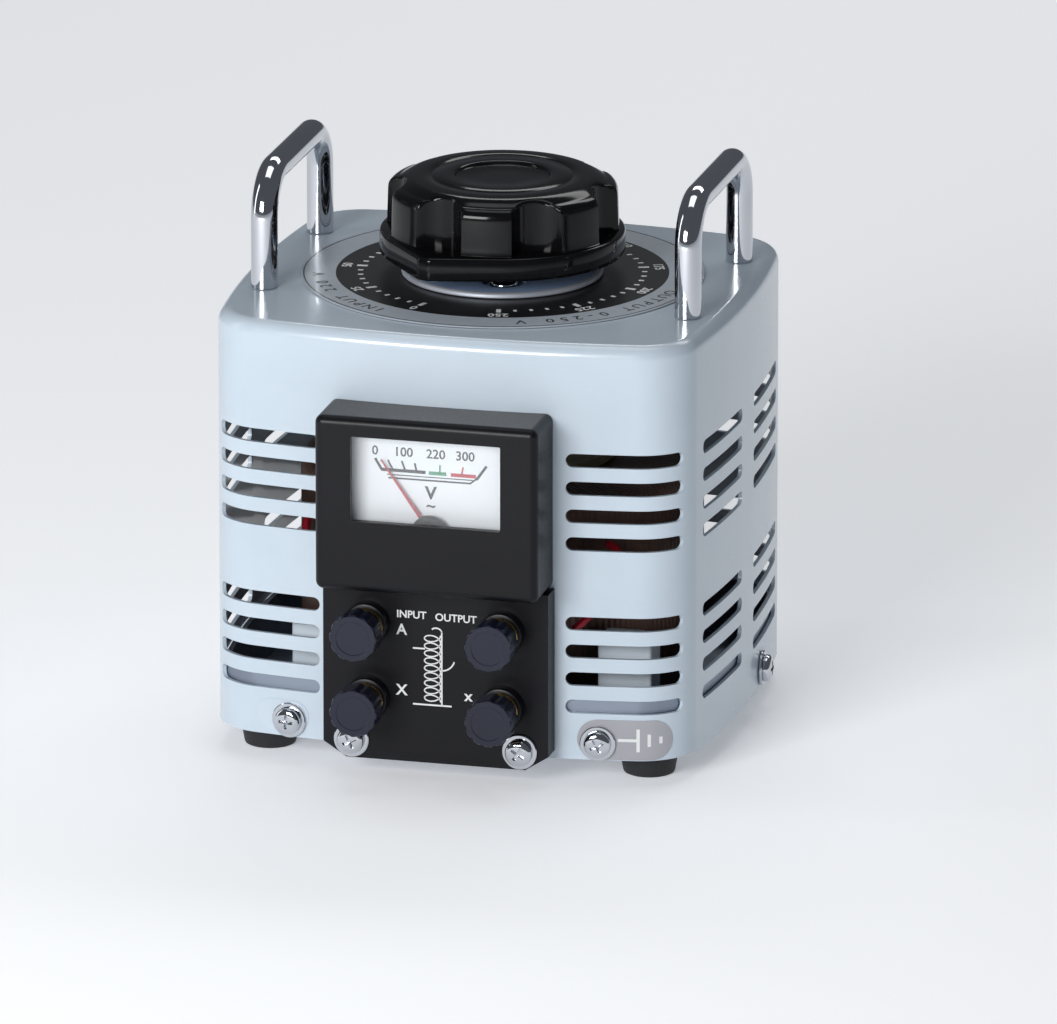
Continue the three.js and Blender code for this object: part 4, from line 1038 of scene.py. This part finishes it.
coil_turns, steps_a_turn = 9, 14
coil_points = coil_turns * steps_a_turn + 1
panel_print += curl((-0.9, 24.9), (2.5, 1.5), 0, 360 / steps_a_turn, coil_points, 0.4, 20.6)
panel_print += curl((1.9, 38.9), (4, 4.2), -90, 12, 7, 0.45)
panel_print += curl((0.2, 46.4), (1.7, 1.3), 0, 20, 8, 0.45)
fit(join(panel_print, "panel_print"), white_ink, "frame", "black_moulding")

# ---- Terminals ----
# Each terminal is a brass stud in a moulded collar, with a brass washer and a screw-down cap.
# The cap is a black moulding with a ribbed neck and a scalloped head.
terminals = ("input_a", "input_x", "output_a", "output_x")
scallops, scallop_depth, ribs, rib_depth = 12, 0.5, 24, 0.3
dress(brass, *(f"stud_{terminal}" for terminal in terminals))
cap_moulding = grained(
    "blue_black_moulded_urea", "#171a2b", 0.3, 0, 0.9, 0.24, 0.38, 0.006, "#1b1e31", "#131524",
    Specular_IOR_Level=0.4,
)
cap_profile = [
    (2.66, 10.6), (2.66, 0.3), (2.9, 0), (4.7, 0), (5, 0.3), (5, 3.9), (5.2, 4.2), (6.6, 4.4),
    (7.1, 4.55), (7.35, 5), (7.35, 11.6), (7.2, 12.1), (6.8, 12.4), (5.2, 12.4), (5, 12.25),
    (0.4, 12.25),
]
for terminal in terminals:
    low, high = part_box(f"cap_{terminal}")
    x, z = (low.x + high.x) / 2 / MM, (low.z + high.z) / 2 / MM
    cap = turned(cap_profile, 144)
    for vertex in cap.data.vertices:
        radius = math.hypot(vertex.co.x, vertex.co.y) / MM
        angle = math.atan2(vertex.co.y, vertex.co.x)
        if radius > 6.9 and vertex.co.z > 4.5 * MM:
            wanted = radius - scallop_depth * (0.5 - 0.5 * math.cos(scallops * angle)) ** 2
        elif 4.9 < radius < 5.1 and vertex.co.z < 4 * MM:
            wanted = radius - rib_depth * (0.5 - 0.5 * math.cos(ribs * angle))
        else:
            continue
        vertex.co.x *= wanted / radius
        vertex.co.y *= wanted / radius
    place(cap, f"cap_{terminal}_moulded", (x, high.y / MM, z), UPRIGHT)
    fit(level(smooth(cap)), cap_moulding, f"cap_{terminal}", "black_moulding", f"cap_{terminal}")
    low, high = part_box(f"collar_{terminal}")
    depth = (high.y - low.y) / MM
    collar = turned(
        [(2.9, 0), (6.4, 0), (6.6, 0.2), (6.6, depth - 0.7), (6.4, depth - 0.2), (5.9, depth),
         (2.9, depth)], 64,
    )
    cut(collar, drill(2.85, 20, (0, 0, 0), 40))
    place(collar, f"collar_{terminal}_moulded", (x, high.y / MM, z), UPRIGHT)
    fit(smooth(collar), moulding, "frame", "black_moulding", f"collar_{terminal}")
    low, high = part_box(f"washer_{terminal}")
    depth = (high.y - low.y) / MM
    washer = turned(
        [(2.7, 0), (5.5, 0), (5.6, 0.1), (5.6, depth - 0.1), (5.5, depth), (2.7, depth)], 64
    )
    cut(washer, drill(2.62, 20, (0, 0, 0), 40))
    place(washer, f"washer_{terminal}_turned", (x, high.y / MM, z), UPRIGHT)
    fit(smooth(washer), brass, f"clamp_{terminal}", "brass", f"washer_{terminal}")

# ---- Screws and labels ----
# Chromed pan-head screws with plain washers hold the cover and the panel to the base.
# The one on the right is the earth screw, through a film label with the earth sign.
pan_head = turned(
    [(1.9, 0), (5.2, 0), (5.3, 0.12), (5.3, 0.6), (5.1, 0.78), (3.9, 0.8), (4.1, 1.05), (4.1, 1.7),
     (3.95, 2.3), (3.55, 2.75), (2.9, 3.05), (1.9, 3.2), (0.4, 3.25)], 64,
)
for turn in (0, 90):
    cut(pan_head, place(block(4.4, 0.95, 2.4, 0.12), "cross", (0, 0, 1.75), (0, 0, turn)))
smooth(pan_head, 35)
panel_screw_x, panel_screw_z = 25.6, 11.6
front_screw_x, side_screw_y, screw_height = 47, 19, case_bottom + 5.2
panel_gap, cover_gap, plate_gap = 0.05, 0.3, 0.1
straight_down = -math.pi / 2
screw_places = {
    "panel_screw_left": ((-panel_screw_x, panel_front - panel_gap, panel_screw_z), UPRIGHT),
    "panel_screw_right": ((panel_screw_x, panel_front - panel_gap, panel_screw_z), UPRIGHT),
}
for node, facing in (
    ("case_screw_left", straight_down - front_angle(front_screw_x)),
    ("earth_screw", straight_down + front_angle(front_screw_x)),
    ("case_screw_side_left", math.pi - side_angle(side_screw_y)),
    ("case_screw_side_right", side_angle(side_screw_y)),
):
    spot = plan_point(facing, -cover_gap)
    screw_places[node] = ((spot.x, spot.y, screw_height), (90, 0, math.degrees(facing) + 90))
for node in hub_screws:
    spot = middle_of(node)
    screw_places[node] = ((spot.x, spot.y, case_top + plate_gap), (0, 0, 0))

# Each screw has stopped at an angle of its own.
first_turn, next_turn = 25, 31
for k, (node, (at, turn)) in enumerate(screw_places.items()):
    head = copied(pan_head)
    place(head, f"{node}_chromed", (0, 0, 0), (0, 0, first_turn + next_turn * k))
    place(head, f"{node}_chromed", at, turn)
    fit(head, chrome, "frame", "chrome", node)
bpy.data.objects.remove(pan_head)

# Polyester film: glossy. The earth label is tinted grey-brown and printed in white.
tinted_film = grained(
    "tinted_polyester_film", "#a3a3a9", 0.16, 0, 3, 0.12, 0.24, 0.004, "#aaaab0", "#9a9aa1"
)
clear_film = grained(
    "clear_polyester_film", "#c6d2dd", 0.1, 0, 3, 0.07, 0.16, 0.004, "#cad6e1", "#bfccd8"
)
label_z = middle_of("earth_label").z
label_ends, label_half, label_face, film_gap = (40.9, 67.9), 6.1, 0.2, 0.04
blank_ends, blank_half, blank_face = (57, 41), 4.8, 0.16
first, last = (straight_down + front_angle(end) for end in label_ends)
label = wall_bar(first, last, label_z, label_half, -label_face, -film_gap)
fit(smooth(place(label, "earth_label_film")), tinted_film, "frame", "label_film", "earth_label")
first, last = (straight_down - front_angle(end) for end in blank_ends)
blank = wall_bar(first, last, label_z, blank_half, -blank_face, -film_gap)
fit(smooth(place(blank, "cover_label_film")), clear_film, "frame", "label_film")
sign = []
for along, height, width in ((55.7, 0.9, 5.6), (58.8, 7, 1), (61.9, 3.8, 1), (65, 2.1, 1)):
    facing = straight_down + front_angle(along)
    spot = plan_point(facing, -label_face - 0.02)
    sign.append(bar(width, height, (spot.x, spot.y, label_z), (90, 0, math.degrees(facing) + 90)))
fit(join(sign, "earth_sign_print"), white_ink, "frame", "label_film")
bpy.data.objects.remove(case_form)

# ---- Floor, light and camera ----
# A pale studio floor under broad soft lamps, seen from the front and a little above.
paper, shader, point = start_material("studio_paper", "#f8f9fa", 0.85)
shader.inputs["Emission Color"].default_value = srgb("#f4f6fa")
shader.inputs["Emission Strength"].default_value = 0.3
bpy.ops.mesh.primitive_plane_add(size=9)
floor = place(bpy.context.active_object, "floor")
floor.data.materials.append(paper)


def lamp(name, width, depth, power, at, aim=(0, 0, 0.07)):
    """A soft rectangular lamp, in metres and watts, turned to a point."""
    bpy.ops.object.light_add(type="AREA", location=at)
    light = bpy.context.active_object
    light.name = name
    light.data.shape = "RECTANGLE"
    light.data.size = width
    light.data.size_y = depth
    light.data.energy = power
    light.rotation_euler = (Vector(aim) - Vector(at)).to_track_quat("-Z", "Y").to_euler()


lamp("front_softbox", 0.6, 0.45, 13.4, (-0.3, -1.29, 0.5))
lamp("overhead_softbox", 0.9, 0.7, 3.2, (0.0, 0.1, 1.5))
lamp("left_strip", 0.2, 1.0, 1.6, (-1.2, -0.3, 0.5))
lamp("floor_wash", 1.6, 0.5, 9, (0.1, 1.5, 1.5), (0.1, 1.0, 0))
world = bpy.data.worlds.new("studio")
bpy.context.scene.world = world
world.use_nodes = True
world.node_tree.nodes["Background"].inputs["Color"].default_value = srgb("#cfd6e0")
world.node_tree.nodes["Background"].inputs["Strength"].default_value = 0.16
bpy.context.scene.view_settings.view_transform = "Standard"

camera = bpy.data.objects.new("camera", bpy.data.cameras.new("camera"))
bpy.context.scene.collection.objects.link(camera)
bpy.context.scene.camera = camera
aim = Vector((0.0132, -0.0054, 0.0675))
view_direction, view_distance = Vector((0.24, -0.9278, 0.2857)), 5.2
camera.location = aim + view_distance * view_direction
camera.rotation_euler = (aim - camera.location).to_track_quat("-Z", "Y").to_euler()
camera.data.lens = 597
camera.data.sensor_width = 36
camera.data.clip_end = 30
